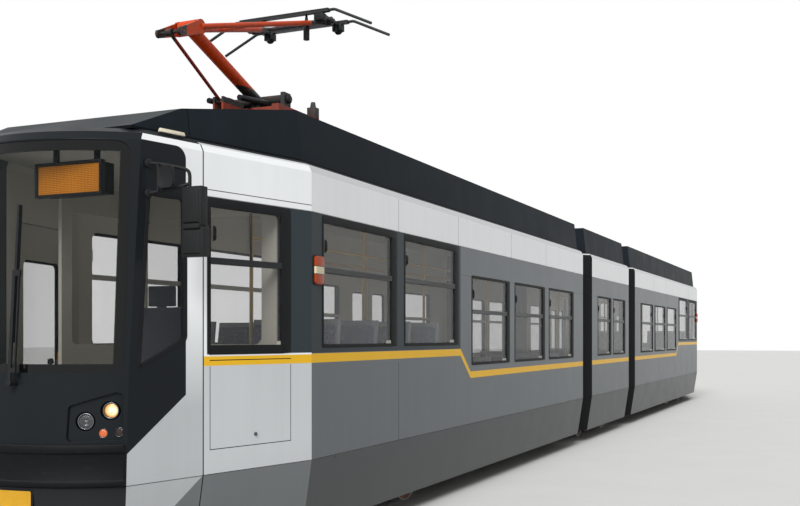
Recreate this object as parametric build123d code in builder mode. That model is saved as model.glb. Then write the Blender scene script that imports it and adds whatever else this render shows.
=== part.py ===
from build123d import *
import math
import os

# Three-section tram for one driving direction. X points to its left side, Y to its rear,
# Z up from the rail contact of the wheels. The middle of its length is Y = 0.
# All sizes are in millimetres.

# Body shell
car_width = 2400
middle_length = 3280
joint_gap = 390
corner_cut = 120
straight_side = 8950
taper_inset = 415
taper_length = 1740
nose_bulge = 320
cab_line = 1103
wall = 60
fit = 0.3

# Heights of the shell
skirt_bottom = 200
skirt_seam = 765
screen_foot = 1500
wall_bend = 3040
wall_top = 3090
roof_edge = 3130
skirt_tuck = 85
brow_tuck = 22
roof_tuck = 80
foot_lean = 60
screen_lean = 117
band_seam = 2730
seam_width = 6
seam_depth = 6

# Floors
high_floor = 900
low_floor = 500
floor_thick = 70
step_from_joint = 5720
step_tread = 300
step_count = 3
gangway_radius = 900
gangway_gap = 5

# Windows
glass_inset = 8
glass_thick = 10
high_sill = 1657
high_head = 2679
low_sill = 1427
low_head = 2424
transom_drop = 400
transom_bar = 42
pane_radius = 70
screen_half = 765
screen_head = 3025
screen_radius = 80
quarter_rake = 83

# Doors
door_sill = 400
door_head = 2650
leaf_thick = 35
leaf_gap = 5
post_pin = 8
pin_reach = 30
double_door_from_joint = 2430
double_door_width = 1300
single_door_start = 181
single_door_width = 800
well_depth = 600
well_bottom = 360
well_plate = 40
leaf_border = 115
leaf_glass_inset = 15

# Roof fairing and pantograph
fairing_top = 3540
fairing_inset = 100
fairing_lean = 43
fairing_wall = 40
fairing_drop = 200
foot_from_joint = 7930
foot_z = 3940
arm_reach = 1080
arm_rise = 400
head_behind_foot = 690
head_z = 4850
arm_tube = 55
pin_radius = 25
pin_play = 0.05
lever_length = 300
lever_angle = 6
rod_foot_ahead = 620
front_beam_ahead = 330
rear_beam_behind = 200
beam_overhang = 110
rod_foot_z = 3820
rod_radius = 15
rod_pin = 12
rod_play = 4
collector_half = 500
collector_reach = 950
collector_droop = 200
collector_spacing = 410

# Running gear
bogie_from_joint = 7270
motor_wheelbase = 1900
motor_tread = 340
motor_axle = 65
trailer_wheelbase = 1800
trailer_tread = 275
trailer_axle = 55
flange = 25
wheel_back = 690
wheel_width = 125
bearing_play = 0.1
beam_inner = 500
beam_outer = 620
king_pin = 95

# Values that follow from the sizes above
half_width = car_width / 2
end_plane = middle_length / 2 + joint_gap
hinge_y = middle_length / 2 + joint_gap / 2
taper_start = end_plane + corner_cut + straight_side
corner_y = taper_start + taper_length
tip_y = corner_y + nose_bulge
seam_y = taper_start + cab_line
step_start = end_plane + step_from_joint
double_door_rear = end_plane + double_door_from_joint
double_door_front = double_door_rear + double_door_width
bogie_y = end_plane + bogie_from_joint
foot_y = -end_plane - foot_from_joint
head_y = foot_y + head_behind_foot
rod_foot_y = foot_y - rod_foot_ahead
slope = taper_inset / taper_length
taper_angle = math.atan(slope)
miter = math.tan(taper_angle / 2)

os.makedirs("parts", exist_ok=True)


# Tuck of the sides and lean of the front face at each height of the shell
envelope = [
    (skirt_bottom, skirt_tuck, foot_lean),
    (skirt_seam, 0, 0),
    (screen_foot, 0, foot_lean / 3),
    (wall_bend, 0, screen_lean),
    (wall_top, brow_tuck, screen_lean + 33),
    (roof_edge, roof_tuck, screen_lean + 118),
]


def tuck_and_lean(z):
    """Tuck and lean between two listed heights, carried on straight past the ends."""
    lower, upper = envelope[0], envelope[1]
    for lower, upper in zip(envelope, envelope[1:]):
        if z <= upper[0]:
            break
    share = (z - lower[0]) / (upper[0] - lower[0])
    return [a + share * (b - a) for a, b in zip(lower[1:], upper[1:])]


def heights(low, high):
    return [low] + [row[0] for row in envelope if low < row[0] < high] + [high]


def end_car(inset, low, high, end=end_plane):
    """Solid form of the front car, its surface moved in by inset, between two heights."""
    with BuildPart() as form:
        for z in heights(low, high):
            tuck, lean = tuck_and_lean(z)
            side = half_width - tuck - inset
            bend = -taper_start + miter * inset
            corner = -corner_y + lean + 0.9 * inset
            joint = half_width - tuck - end_plane - corner_cut - math.sqrt(2) * inset + end
            joint_start = end_plane + corner_cut + (math.sqrt(2) - 1) * inset
            narrow = side - slope * (bend - corner)
            with BuildSketch(Plane.XY.offset(z)):
                with BuildLine():
                    Polyline(
                        (joint, -end), (side, -joint_start),
                        (side, bend), (narrow, corner),
                    )
                    ThreePointArc(
                        (narrow, corner), (0, -tip_y + lean + inset), (-narrow, corner)
                    )
                    Polyline(
                        (-narrow, corner), (-side, bend), (-side, -joint_start),
                        (-joint, -end),
                        (joint, -end),
                    )
                make_face()
        loft(ruled=True)
    return form.part


def middle_car(inset, low, high, end=middle_length / 2):
    """Solid form of the middle car, its surface moved in by inset."""
    with BuildPart() as form:
        for z in heights(low, high):
            side = half_width - tuck_and_lean(z)[0] - inset
            start = middle_length / 2 - corner_cut - (math.sqrt(2) - 1) * inset
            close = side + start - end
            with BuildSketch(Plane.XY.offset(z)):
                with BuildLine():
                    Polyline(
                        (close, end), (side, start), (side, -start), (close, -end),
                        (-close, -end), (-side, -start), (-side, start), (-close, end),
                        close=True,
                    )
                make_face()
        loft(ruled=True)
    return form.part


def span(low, high, mode=Mode.ADD):
    """Box between two opposite corners."""
    middle = [(a + b) / 2 for a, b in zip(low, high)]
    size = [b - a for a, b in zip(low, high)]
    with Locations(tuple(middle)):
        Box(*size, mode=mode)


def rod_between(start, finish, radius, mode=Mode.ADD):
    """Round bar from one point to another."""
    line = Vector(finish) - Vector(start)
    with Locations(Plane(origin=start, z_dir=line).location):
        Cylinder(radius, line.length, align=(Align.CENTER, Align.CENTER, Align.MIN), mode=mode)


def flat_plane(side, inset=0):
    """Plane on the straight side, 1 for left and -1 for right. Its x runs forward times -side."""
    return Plane(
        origin=(side * (half_width - inset), 0, 0), x_dir=(0, side, 0), z_dir=(side, 0, 0)
    )


def taper_point(side, along, inset=0, z=0):
    """Point on the tapered side, a distance along it from its start."""
    cos, sin = math.cos(taper_angle), math.sin(taper_angle)
    x = half_width - inset * cos - along * sin
    return (side * x, -taper_start + inset * sin - along * cos, z)


def taper_plane(side, inset=0):
    cos, sin = math.cos(taper_angle), math.sin(taper_angle)
    return Plane(
        origin=taper_point(side, 0, inset),
        x_dir=(sin, side * cos, 0),
        z_dir=(side * cos, -sin, 0),
    )


# Side windows of the front car, counted forward from the joint end
window_places = [
    # front, rear, high
    (8890, 7510, True),
    (7235, 5860, True),
    (5340, 4040, False),
    (double_door_from_joint + double_door_width, double_door_from_joint, False),
    (2120, 820, False),
]
side_windows = [
    (end_plane + front, end_plane + rear, high) for front, rear, high in window_places
]
# Side windows of the middle car
middle_end_pillar = 540
middle_post = 130
middle_windows = [
    (middle_length / 2 - middle_end_pillar, middle_post, False),
    (-middle_post, middle_end_pillar - middle_length / 2, False),
]
# Windows in the tapered sides, counted along the taper
taper_windows = {
    1: [(1081, 321, True)],
    -1: [],
}


def window_sketch(plane, rows, side, shrink=0.0):
    """Outlines of windows on a side plane, each cut in two by its transom."""
    with BuildSketch(plane) as outlines:
        for front, rear, high in rows:
            sill = high_sill if high else low_sill
            head = high_head if high else low_head
            bar = head - transom_drop
            x = -side * (front + rear) / 2
            width = front - rear - 2 * shrink
            with Locations((x, (sill + head) / 2)):
                RectangleRounded(width, head - sill - 2 * shrink, pane_radius)
            with Locations((x, bar)):
                Rectangle(width + 10, transom_bar + 2 * shrink, mode=Mode.SUBTRACT)
    return outlines.sketch


# Quarter window on the nose side, ahead of the cab line, with a slanted foot and front edge
def quarter_sketch(plane, side, shrink=0.0):
    start = cab_line / math.cos(taper_angle) + 147 + shrink
    finish = start + 335 - 2 * shrink
    with BuildSketch(plane) as outline:
        with BuildLine():
            Polyline(
                (-side * start, 1715 + shrink),
                (-side * (finish + quarter_rake), 1520 + shrink),
                (-side * finish, 2700 - shrink), (-side * start, 2700 - shrink), close=True,
            )
        make_face()
        fillet(outline.vertices(), 40)
    return outline.sketch


def screen_sketch(shrink=0.0):
    middle = (screen_foot + screen_head) / 2 + 5
    with BuildSketch(Plane.XZ.offset(corner_y - 500)) as outline:
        with Locations((0, middle)):
            RectangleRounded(
                2 * (screen_half - shrink), screen_head - screen_foot - 2 * shrink,
                screen_radius,
            )
    return outline.sketch


# Front car: one hollow shell, cut at the centre line and at the cab line into real panels
outer_form = end_car(0, skirt_bottom, wall_top)
inner_form = end_car(wall, skirt_bottom - 20, wall_top + 20, end=end_plane - 100)
seam_ring_outer = end_car(-5, skirt_seam - seam_width / 2, skirt_seam + seam_width / 2)
seam_ring_inner = end_car(seam_depth, skirt_seam - 20, skirt_seam + 20, end=end_plane - 60)
band_ring_outer = end_car(-5, band_seam - seam_width / 2, band_seam + seam_width / 2)
band_ring_inner = end_car(seam_depth, band_seam - 20, band_seam + 20, end=end_plane - 60)
with BuildPart() as front_shell:
    add(outer_form)
    add(inner_form, mode=Mode.SUBTRACT)

with BuildPart() as skirt_ring:
    add(seam_ring_outer)
    add(seam_ring_inner, mode=Mode.SUBTRACT)
with BuildPart() as band_ring:
    add(band_ring_outer)
    add(band_ring_inner, mode=Mode.SUBTRACT)

# Upright panel joints of the side, cut from the outside only: distance ahead of the car's
# joint end, low, high
panel_joints = [
    (8670, skirt_bottom, skirt_seam),
    (7370, band_seam, wall_bend),
    (7370, skirt_seam, 1500),
    (5770, band_seam, wall_bend),
    (3870, band_seam, wall_bend),
    (3870, skirt_bottom, skirt_seam),
    (2270, band_seam, wall_bend),
]


def side_wall(side, rows, taper_rows, cut_solids):
    flat_openings = window_sketch(flat_plane(side), rows, side)
    with BuildPart() as panel:
        add(front_shell.part)
        keep = Keep.TOP if side > 0 else Keep.BOTTOM
        split(bisect_by=Plane.YZ, keep=keep)
        split(bisect_by=Plane.XZ.offset(seam_y), keep=Keep.BOTTOM)
        extrude(flat_openings, amount=2 * wall, both=True, mode=Mode.SUBTRACT)
        if taper_rows:
            taper_openings = window_sketch(taper_plane(side), taper_rows, side)
            extrude(taper_openings, amount=2 * wall, both=True, mode=Mode.SUBTRACT)
        add(skirt_ring.part, mode=Mode.SUBTRACT)
        add(band_ring.part, mode=Mode.SUBTRACT)
        seam_x = sorted((side * (half_width - seam_depth), side * (half_width + 50)))
        for ahead, low, high in panel_joints:
            seam_rear = -end_plane - ahead + seam_width / 2
            span(
                (seam_x[0], seam_rear - seam_width, low), (seam_x[1], seam_rear, high),
                Mode.SUBTRACT,
            )
        for solid in cut_solids:
            add(solid, mode=Mode.SUBTRACT)
    return panel.part


# Door openings of the right side
with BuildPart() as double_opening:
    span(
        (-half_width - 50, -double_door_front, door_sill),
        (-half_width + 2 * wall + 60, -double_door_rear, door_head),
    )
single_door_end = single_door_start + single_door_width
well_sill = well_bottom + 5
with BuildPart() as single_opening:
    with BuildSketch(taper_plane(-1)):
        with Locations(((single_door_start + single_door_end) / 2, (well_sill + door_head) / 2)):
            Rectangle(single_door_width, door_head - well_sill)
    extrude(amount=3 * wall, both=True)

# Upright pivot of each leaf: a pin on its round edge, held in a bore over the door
post_inset = leaf_gap + leaf_thick / 2
double_posts = {
    "front": (-half_width + post_inset, -double_door_front + post_inset),
    "rear": (-half_width + post_inset, -double_door_rear - post_inset),
}
single_post = taper_point(-1, single_door_start + post_inset, post_inset)[:2]
with BuildPart() as pin_bores:
    for point in (*double_posts.values(), single_post):
        with Locations((point[0], point[1], door_head - leaf_gap)):
            Cylinder(
                post_pin + pin_play, leaf_gap + pin_reach + 2,
                align=(Align.CENTER, Align.CENTER, Align.MIN),
            )

right_windows = [row for row in side_windows if row[0] != double_door_front]
front_left = side_wall(1, side_windows, taper_windows[1], [])
front_right = side_wall(
    -1, right_windows, taper_windows[-1],
    [double_opening.part, single_opening.part, pin_bores.part],
)
with BuildPart() as front_left_wall:
    add(front_left)
with BuildPart() as front_right_wall:
    add(front_right)

# Nose moulding ahead of the cab line, with the windscreen, quarter windows and lamp bays
lamp_face = 25
lamp_depth = 50
# Headlamps: distance from the centre line, height, radius
head_lamps = [
    (700, 1258, 62),
    (572, 1190, 62),
    (664, 1112, 30),
    (742, 1118, 30),
]
lamp_yaw = 22
front_radius = ((half_width - taper_inset) ** 2 + nose_bulge**2) / (2 * nose_bulge)


def front_y(x, z):
    """Y of the nose's front face at a point."""
    bow = front_radius - math.sqrt(front_radius**2 - x * x)
    return -tip_y + tuck_and_lean(z)[1] + bow


def lamp_plane(x, z, inset, side):
    yaw = math.radians(lamp_yaw) * side
    out = (math.sin(yaw), -math.cos(yaw), 0)
    y = front_y(x, z)
    return Plane(
        origin=(side * x - out[0] * inset, y - out[1] * inset, z), x_dir=(1, 0, 0), z_dir=out
    )


bay_outer = end_car(-5, 1000, 1450)
bay_inner = end_car(18, 990, 1460)
with BuildPart() as lamp_bays:
    with BuildSketch(Plane.XZ.offset(corner_y - 300)) as bay_outline:
        with BuildLine():
            Polyline((470, 1060), (765, 1068), (765, 1390), (480, 1290), close=True)
        make_face()
        fillet(bay_outline.vertices(), 30)
        mirror(about=Plane.YZ)
    extrude(amount=1200)
    add(bay_outer, mode=Mode.INTERSECT)
    add(bay_inner, mode=Mode.SUBTRACT)

screen_opening = screen_sketch()
with BuildPart() as front_nose:
    add(front_shell.part)
    split(bisect_by=Plane.XZ.offset(seam_y), keep=Keep.TOP)
    extrude(screen_opening, amount=1500, mode=Mode.SUBTRACT)
    for side in (1, -1):
        extrude(quarter_sketch(taper_plane(side), side), amount=80, both=True,
                mode=Mode.SUBTRACT)
    add(skirt_ring.part, mode=Mode.SUBTRACT)
    add(lamp_bays.part, mode=Mode.SUBTRACT)
    for side in (1, -1):
        for x, z, radius in head_lamps:
            with BuildSketch(lamp_plane(x, z, 150, side)):
                Circle(radius + fit)
            extrude(amount=300, mode=Mode.SUBTRACT)

# Bumper moulding across the front: a flat band between a lip at its foot and a ledge on top
bumper_low = skirt_seam + 10
bumper_high = 1040
bumper_proud = 12
ledge_proud = 26
ledge_height = 52
lip_height = 34
bumper_band = end_car(-bumper_proud, bumper_low, bumper_high)
bumper_ledge = end_car(-ledge_proud, bumper_high - ledge_height, bumper_high)
bumper_lip = end_car(-ledge_proud, bumper_low, bumper_low + lip_height)
bumper_inner = end_car(-fit, bumper_low - 20, bumper_high + 20)
with BuildPart() as front_bumper:
    add(bumper_band)
    add(bumper_ledge)
    add(bumper_lip)
    add(bumper_inner, mode=Mode.SUBTRACT)
    split(bisect_by=Plane.XZ.offset(corner_y - 40), keep=Keep.TOP)

# Front lamps: headlamps in their bays, side marker lamps on the walls
marker_forward = taper_start - 100
marker_z = 2270
with BuildPart() as front_lamps:
    for side in (1, -1):
        for x, z, radius in head_lamps:
            with BuildSketch(lamp_plane(x, z, lamp_face + lamp_depth, side)):
                Circle(radius)
            extrude(amount=lamp_depth)
        with BuildSketch(flat_plane(side, -fit)):
            with Locations((-side * marker_forward, marker_z)):
                SlotOverall(240, 62, rotation=90)
        extrude(amount=26)

# Glass of the front car
side_panes = {}
for side, rows in ((1, side_windows), (-1, right_windows)):
    side_panes[side] = window_sketch(
        flat_plane(side, glass_inset + glass_thick), rows, side, fit
    )
cab_pane = window_sketch(taper_plane(1, glass_inset + glass_thick), taper_windows[1], 1, fit)
with BuildPart() as front_windows:
    for side in (1, -1):
        extrude(side_panes[side], amount=glass_thick)
    extrude(cab_pane, amount=glass_thick)

screen_outer = end_car(glass_inset, screen_foot - 50, screen_head + 30)
screen_inner = end_car(glass_inset + glass_thick, screen_foot - 60, screen_head + 40)
with BuildPart() as front_screen:
    extrude(screen_sketch(fit), amount=1500)
    add(screen_outer, mode=Mode.INTERSECT)
    add(screen_inner, mode=Mode.SUBTRACT)
    for side in (1, -1):
        extrude(
            quarter_sketch(taper_plane(side, glass_inset + glass_thick), side, fit),
            amount=glass_thick,
        )

# Roof slab and roof fairing
roof_form = end_car(0, wall_top, roof_edge)
with BuildPart() as front_roof:
    add(roof_form)


fairing_end = end_plane + 100
fairing_front = seam_y + 500


def fairing_form(inset, low, front=True):
    """Fairing over the roof: slanted sides, front end tapered and sloped down to the brow."""
    bottom = half_width - fairing_inset - inset
    top = bottom - fairing_lean
    far = fairing_end + inset if front else fairing_end
    with BuildPart() as form:
        for z, side in ((low, bottom), (fairing_top - inset, top)):
            with BuildSketch(Plane.XY.offset(z)):
                with BuildLine():
                    Polyline(
                        (side, -far), (side, -taper_start),
                        (side - slope * (fairing_front - taper_start), -fairing_front),
                        (-side + slope * (fairing_front - taper_start), -fairing_front),
                        (-side, -taper_start), (-side, -far), close=True,
                    )
                make_face()
        loft(ruled=True)
        with BuildSketch(Plane.YZ):
            with BuildLine():
                Polyline(
                    (-far, low), (-far, fairing_top - inset),
                    (-taper_start - 20, fairing_top - inset),
                    (-seam_y - 60 + inset, fairing_top - fairing_drop - inset),
                    (-fairing_front + inset, roof_edge + 20 - inset),
                    (-fairing_front + inset, low), close=True,
                )
            make_face()
        extrude(amount=half_width, both=True, mode=Mode.INTERSECT)
    return form.part


fairing_outer = fairing_form(0, roof_edge)
fairing_inner = fairing_form(fairing_wall, roof_edge - 30)
with BuildPart() as front_fairing:
    add(fairing_outer)
    add(fairing_inner, mode=Mode.SUBTRACT)

# Floor of the front car: high over the motor bogie, three steps down to the low part
rise = (high_floor - low_floor) / step_count
floor_line = [(-tip_y, high_floor), (-step_start, high_floor)]
under_line = [(-tip_y, high_floor - floor_thick)]
for step in range(step_count):
    y = -step_start + step * step_tread
    z = high_floor - (step + 1) * rise
    floor_line += [(y, z + rise), (y, z)] if step else [(y, z)]
    under_line += [(y - floor_thick, z + rise - floor_thick), (y - floor_thick, z - floor_thick)]
floor_line.append((-end_plane, low_floor))
under_line.append((-end_plane, low_floor - floor_thick))
floor_form = end_car(wall + fit, low_floor - 150, high_floor + 100, end=end_plane)

well_inner = wall + well_depth
bar_top = high_floor - floor_thick
low_under = low_floor - floor_thick
arm_low = 330
arm_high = 400
coupling_pin = 50
# Stepwell of the front door: two steps between upright cheeks, cut to the wall
well_half = (wall + well_inner) / 2
well_middle = (well_bottom + high_floor) / 2
step_profile = [
    (wall - 20, well_bottom - well_plate), (wall - 20, well_bottom),
    (well_half, well_bottom), (well_half, well_middle), (well_inner, well_middle),
    (well_inner, high_floor), (well_inner + well_plate, high_floor),
    (well_inner + well_plate, well_middle - well_plate),
    (well_half + well_plate, well_middle - well_plate),
    (well_half + well_plate, well_bottom - well_plate),
]
cheek_profile = [
    (wall - 20, well_bottom - well_plate), (wall - 20, high_floor),
    (well_inner + well_plate, high_floor), (well_inner + well_plate, well_bottom - well_plate),
]
well_plane = Plane(
    origin=taper_point(-1, single_door_start - well_plate),
    x_dir=(math.cos(taper_angle), math.sin(taper_angle), 0),
    z_dir=(math.sin(taper_angle), -math.cos(taper_angle), 0),
)
well_form = end_car(wall + fit, well_bottom - well_plate, high_floor)
with BuildPart() as stepwell:
    with BuildSketch(well_plane):
        with BuildLine():
            Polyline(*step_profile, close=True)
        make_face()
    extrude(amount=single_door_width + 2 * well_plate)
    for along in (0, single_door_width + well_plate):
        with BuildSketch(well_plane.offset(along)):
            with BuildLine():
                Polyline(*cheek_profile, close=True)
            make_face()
        extrude(amount=well_plate)
    add(well_form, mode=Mode.INTERSECT)

with BuildPart() as front_floor:
    with BuildSketch(Plane.YZ) as floor_profile:
        with BuildLine():
            Polyline(*floor_line, *reversed(under_line), close=True)
        make_face()
    extrude(amount=half_width, both=True)
    add(floor_form, mode=Mode.INTERSECT)
    # Joint between the last step and the low deck
    low_start = -step_start + 2 * step_tread
    span(
        (-half_width, low_start, low_under - 10),
        (half_width, low_start + fit, low_floor + 10),
        Mode.SUBTRACT,
    )
    # Round end for the turning gangway plate
    with Locations((0, -hinge_y, low_floor)):
        Cylinder(gangway_radius + gangway_gap, 3 * floor_thick, mode=Mode.SUBTRACT)
    # Stepwell of the front door
    with BuildSketch(Plane.XY.offset(high_floor + 10)):
        with BuildLine():
            Polyline(
                taper_point(-1, single_door_start - well_plate, wall - 20)[:2],
                taper_point(-1, single_door_end + well_plate, wall - 20)[:2],
                taper_point(-1, single_door_end + well_plate, well_inner)[:2],
                taper_point(-1, single_door_start - well_plate, well_inner)[:2],
                close=True,
            )
        make_face()
    extrude(amount=-floor_thick - 20, mode=Mode.SUBTRACT)
    add(stepwell.part)
    # King pin of the motor bogie
    with Locations((0, -bogie_y, bar_top)):
        Cylinder(king_pin, 430, align=(Align.CENTER, Align.CENTER, Align.MAX))
        Cylinder(king_pin + 90, 60, align=(Align.CENTER, Align.CENTER, Align.MAX))
    # Sole bars below both floors
    for side in (1, -1):
        span(
            (side * 995 - 45, -taper_start, bar_top - 70),
            (side * 995 + 45, -step_start - 100, bar_top),
        )
        span(
            (side * 900 - 50, low_start + fit, low_under - 100),
            (side * 900 + 50, -end_plane - 950, low_under),
        )
    # Coupling arm to the middle car, an eye on its pin
    span((-160, -end_plane - 1400, arm_low), (160, -hinge_y, arm_high))
    span((-160, -end_plane - 1400, arm_low), (160, -end_plane - 900, low_under))
    with Locations((0, -hinge_y, arm_low)):
        Cylinder(160, arm_high - arm_low, align=(Align.CENTER, Align.CENTER, Align.MIN))
        Cylinder(
            coupling_pin + pin_play, 400, align=(Align.CENTER, Align.CENTER, Align.CENTER),
            mode=Mode.SUBTRACT,
        )
    # Tow bracket below the cab floor, with an upright bore for a tow pin
    span((-60, -tip_y + 300, 560), (60, -tip_y + 700, bar_top))
    span((-90, -tip_y + 130, 560), (90, -tip_y + 700, 600))
    with Locations((0, -tip_y + 200, 580)):
        Cylinder(25, 200, mode=Mode.SUBTRACT)


# Door leaves: flush with the wall, hung on a round edge, with one tall pane each
def door_leaf(sill, region, post_point, window):
    outer = end_car(leaf_gap, sill + leaf_gap, door_head - leaf_gap)
    inner = end_car(leaf_gap + leaf_thick, sill - 20, door_head + 20)
    with BuildPart() as leaf:
        add(region)
        add(outer, mode=Mode.INTERSECT)
        add(inner, mode=Mode.SUBTRACT)
        with Locations((post_point[0], post_point[1], skirt_seam)):
            Cylinder(
                leaf_thick / 2 - fit, door_head - leaf_gap - skirt_seam,
                align=(Align.CENTER, Align.CENTER, Align.MIN),
            )
        with Locations((post_point[0], post_point[1], door_head - leaf_gap)):
            Cylinder(
                post_pin, leaf_gap + pin_reach, align=(Align.CENTER, Align.CENTER, Align.MIN)
            )
        add(window, mode=Mode.SUBTRACT)
    return leaf.part


door_middle = (double_door_front + double_door_rear) / 2
leaf_width = (double_door_front - double_door_rear) / 2
double_leaves = {}
for name, turn in (("front", 1), ("rear", -1)):
    post = double_posts[name][1]
    free = -door_middle - turn * leaf_gap
    low, high = min(post, free), max(post, free)
    with BuildPart() as region:
        span((-half_width - 20, low, door_sill), (-half_width + 200, high, door_head))
    with BuildSketch(flat_plane(-1)) as pane:
        with Locations(((-low - high) / 2, 1540)):
            RectangleRounded(leaf_width - 2 * leaf_border, 1640, 60)
    with BuildPart() as pane_cut:
        extrude(pane.sketch, amount=3 * wall, both=True)
    with BuildSketch(flat_plane(-1, leaf_glass_inset + glass_thick)) as glass_outline:
        with Locations(((-low - high) / 2, 1540)):
            RectangleRounded(leaf_width - 2 * leaf_border - 2 * fit, 1640 - 2 * fit, 60)
    with BuildPart() as leaf_glass:
        extrude(glass_outline.sketch, amount=glass_thick)
    leaf = door_leaf(door_sill, region.part, double_posts[name], pane_cut.part)
    double_leaves[name] = (leaf, leaf_glass.part)

with BuildPart() as region:
    with BuildSketch(taper_plane(-1, -20)):
        low = single_door_start + post_inset
        high = single_door_end - leaf_gap
        with Locations(((low + high) / 2, (well_sill + door_head) / 2)):
            Rectangle(high - low, door_head - well_sill)
    extrude(amount=-220)
with BuildSketch(taper_plane(-1)) as pane:
    with Locations(((low + high) / 2, 1640)):
        RectangleRounded(single_door_width - 2 * leaf_border, 1440, 60)
with BuildPart() as pane_cut:
    extrude(pane.sketch, amount=3 * wall, both=True)
with BuildSketch(taper_plane(-1, leaf_glass_inset + glass_thick)) as glass_outline:
    with Locations(((low + high) / 2, 1640)):
        RectangleRounded(single_door_width - 2 * leaf_border - 2 * fit, 1440 - 2 * fit, 60)
with BuildPart() as leaf_glass:
    extrude(glass_outline.sketch, amount=glass_thick)
single_leaf = door_leaf(well_sill, region.part, single_post, pane_cut.part)
single_pane = leaf_glass.part

with BuildPart() as front_door:
    add(single_leaf)
    add(single_pane)
with BuildPart() as front_double_door_front_leaf:
    for solid in double_leaves["front"]:
        add(solid)
with BuildPart() as front_double_door_rear_leaf:
    for solid in double_leaves["rear"]:
        add(solid)


# Motor bogie: inside frame with transom, motors, gear cases, brakes and spring seats
def wheelset(y, tread, axle):
    """Axle with two flanged wheels, turned in one piece about a line along X."""
    z = tread + flange
    back, face = wheel_back, wheel_back + wheel_width
    rim = tread - 60
    hub = axle + 45
    outline = [
        (0, 0), (0, axle), (back - 10, axle), (back - 10, hub), (back + 25, hub + 20),
        (back + 45, rim - 20), (back, rim), (back, z - 6), (back + 8, z), (back + 22, z - 2),
        (back + 32, tread), (face, tread - 4), (face, rim + 4), (back + 75, rim - 20),
        (back + 60, hub + 20), (face + 5, hub), (face + 5, axle), (face + 25, axle - 8),
        (face + 25, 0),
    ]
    with BuildPart() as pair:
        with BuildSketch(Plane(origin=(0, y, z), x_dir=(1, 0, 0), z_dir=(0, -1, 0))):
            with BuildLine():
                Polyline(*outline, close=True)
            make_face()
        revolve(axis=Axis((0, y, z), (1, 0, 0)))
        mirror(about=Plane.YZ)
    return pair.part


motor_axle_z = motor_tread + flange
spring_top = bar_top - fit
bogie_frame_top = 480
with BuildPart() as front_bogie_frame:
    # Side beams with a dropped middle, drawn from the side
    beam_end = motor_wheelbase / 2 + 190
    with BuildSketch(Plane.YZ):
        with BuildLine():
            Polyline(
                (-bogie_y - beam_end, 300), (-bogie_y - beam_end, 450),
                (-bogie_y - 520, bogie_frame_top), (-bogie_y + 520, bogie_frame_top),
                (-bogie_y + beam_end, 450), (-bogie_y + beam_end, 300),
                (-bogie_y + 900, 255), (-bogie_y + 620, 255), (-bogie_y + 480, 330),
                (-bogie_y - 480, 330), (-bogie_y - 620, 255), (-bogie_y - 900, 255), close=True,
            )
        make_face()
    extrude(amount=beam_outer, both=True)
    span((-beam_inner, -bogie_y - 1300, 200), (beam_inner, -bogie_y + 1300, 600), Mode.SUBTRACT)
    # Transom with the king pin's bore
    span((-beam_outer, -bogie_y - 230, 345), (beam_outer, -bogie_y + 230, 560))
    for turn in (1, -1):
        axle_y = -bogie_y + turn * motor_wheelbase / 2
        # Motor lying across the frame, its gear case round the axle
        motor_y = -bogie_y + turn * 400
        rod_between((-330, motor_y, 400), (420, motor_y, 400), 165)
        rod_between((300, axle_y, motor_axle_z), (440, axle_y, motor_axle_z), 170)
        span(
            (300, min(motor_y, axle_y), 270), (440, max(motor_y, axle_y), 470),
        )
        # Rail brake shoe under each side beam
    for side in (1, -1):
        span((side * 750 - 45, -bogie_y - 420, 70), (side * 750 + 45, -bogie_y + 420, 165))
        hanger = sorted((side * 560, side * 790))
        for brake_y in (-bogie_y - 300, -bogie_y + 260):
            span((hanger[0], brake_y, 150), (hanger[1], brake_y + 40, 400))
        # Air spring on the end of the transom
        with Locations((side * 520, -bogie_y, 560)):
            Cylinder(150, 60, align=(Align.CENTER, Align.CENTER, Align.MIN))
            Cylinder(125, spring_top - 600, align=(Align.CENTER, Align.CENTER, Align.MIN))
        with Locations((side * 520, -bogie_y, spring_top)):
            Cylinder(150, 40, align=(Align.CENTER, Align.CENTER, Align.MAX))
    for turn in (1, -1):
        axle_y = -bogie_y + turn * motor_wheelbase / 2
        rod_between(
            (-beam_outer - 10, axle_y, motor_axle_z), (beam_outer + 10, axle_y, motor_axle_z),
            motor_axle + bearing_play, Mode.SUBTRACT,
        )
    with Locations((0, -bogie_y, 500)):
        Cylinder(king_pin + bearing_play, 600, mode=Mode.SUBTRACT)

with BuildPart() as wheelset_1:
    add(wheelset(-bogie_y - motor_wheelbase / 2, motor_tread, motor_axle))
with BuildPart() as wheelset_2:
    add(wheelset(-bogie_y + motor_wheelbase / 2, motor_tread, motor_axle))

# Trailer bogie under the middle car
trailer_axle_z = trailer_tread + flange
with BuildPart() as trailer_frame:
    for side in (1, -1):
        middle = side * (beam_inner + beam_outer) / 2
        half = (beam_outer - beam_inner) / 2
        span((middle - half, -1080, 225), (middle + half, 1080, 375))
        for spring_y in (-560, 560):
            with Locations((middle, spring_y, 375)):
                Cylinder(
                    55, low_under - 375, align=(Align.CENTER, Align.CENTER, Align.MIN)
                )
        span((side * 750 - 45, -380, 70), (side * 750 + 45, 380, 165))
        hanger = sorted((side * 560, side * 790))
        for brake_y in (-280, 240):
            span((hanger[0], brake_y, 150), (hanger[1], brake_y + 40, 300))
    span((-beam_outer, -170, 240), (beam_outer, 170, 360))
    for turn in (1, -1):
        axle_y = turn * trailer_wheelbase / 2
        rod_between(
            (-beam_outer - 10, axle_y, trailer_axle_z), (beam_outer + 10, axle_y, trailer_axle_z),
            trailer_axle + bearing_play, Mode.SUBTRACT,
        )
with BuildPart() as wheelset_3:
    add(wheelset(-trailer_wheelbase / 2, trailer_tread, trailer_axle))
with BuildPart() as wheelset_4:
    add(wheelset(trailer_wheelbase / 2, trailer_tread, trailer_axle))

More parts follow.
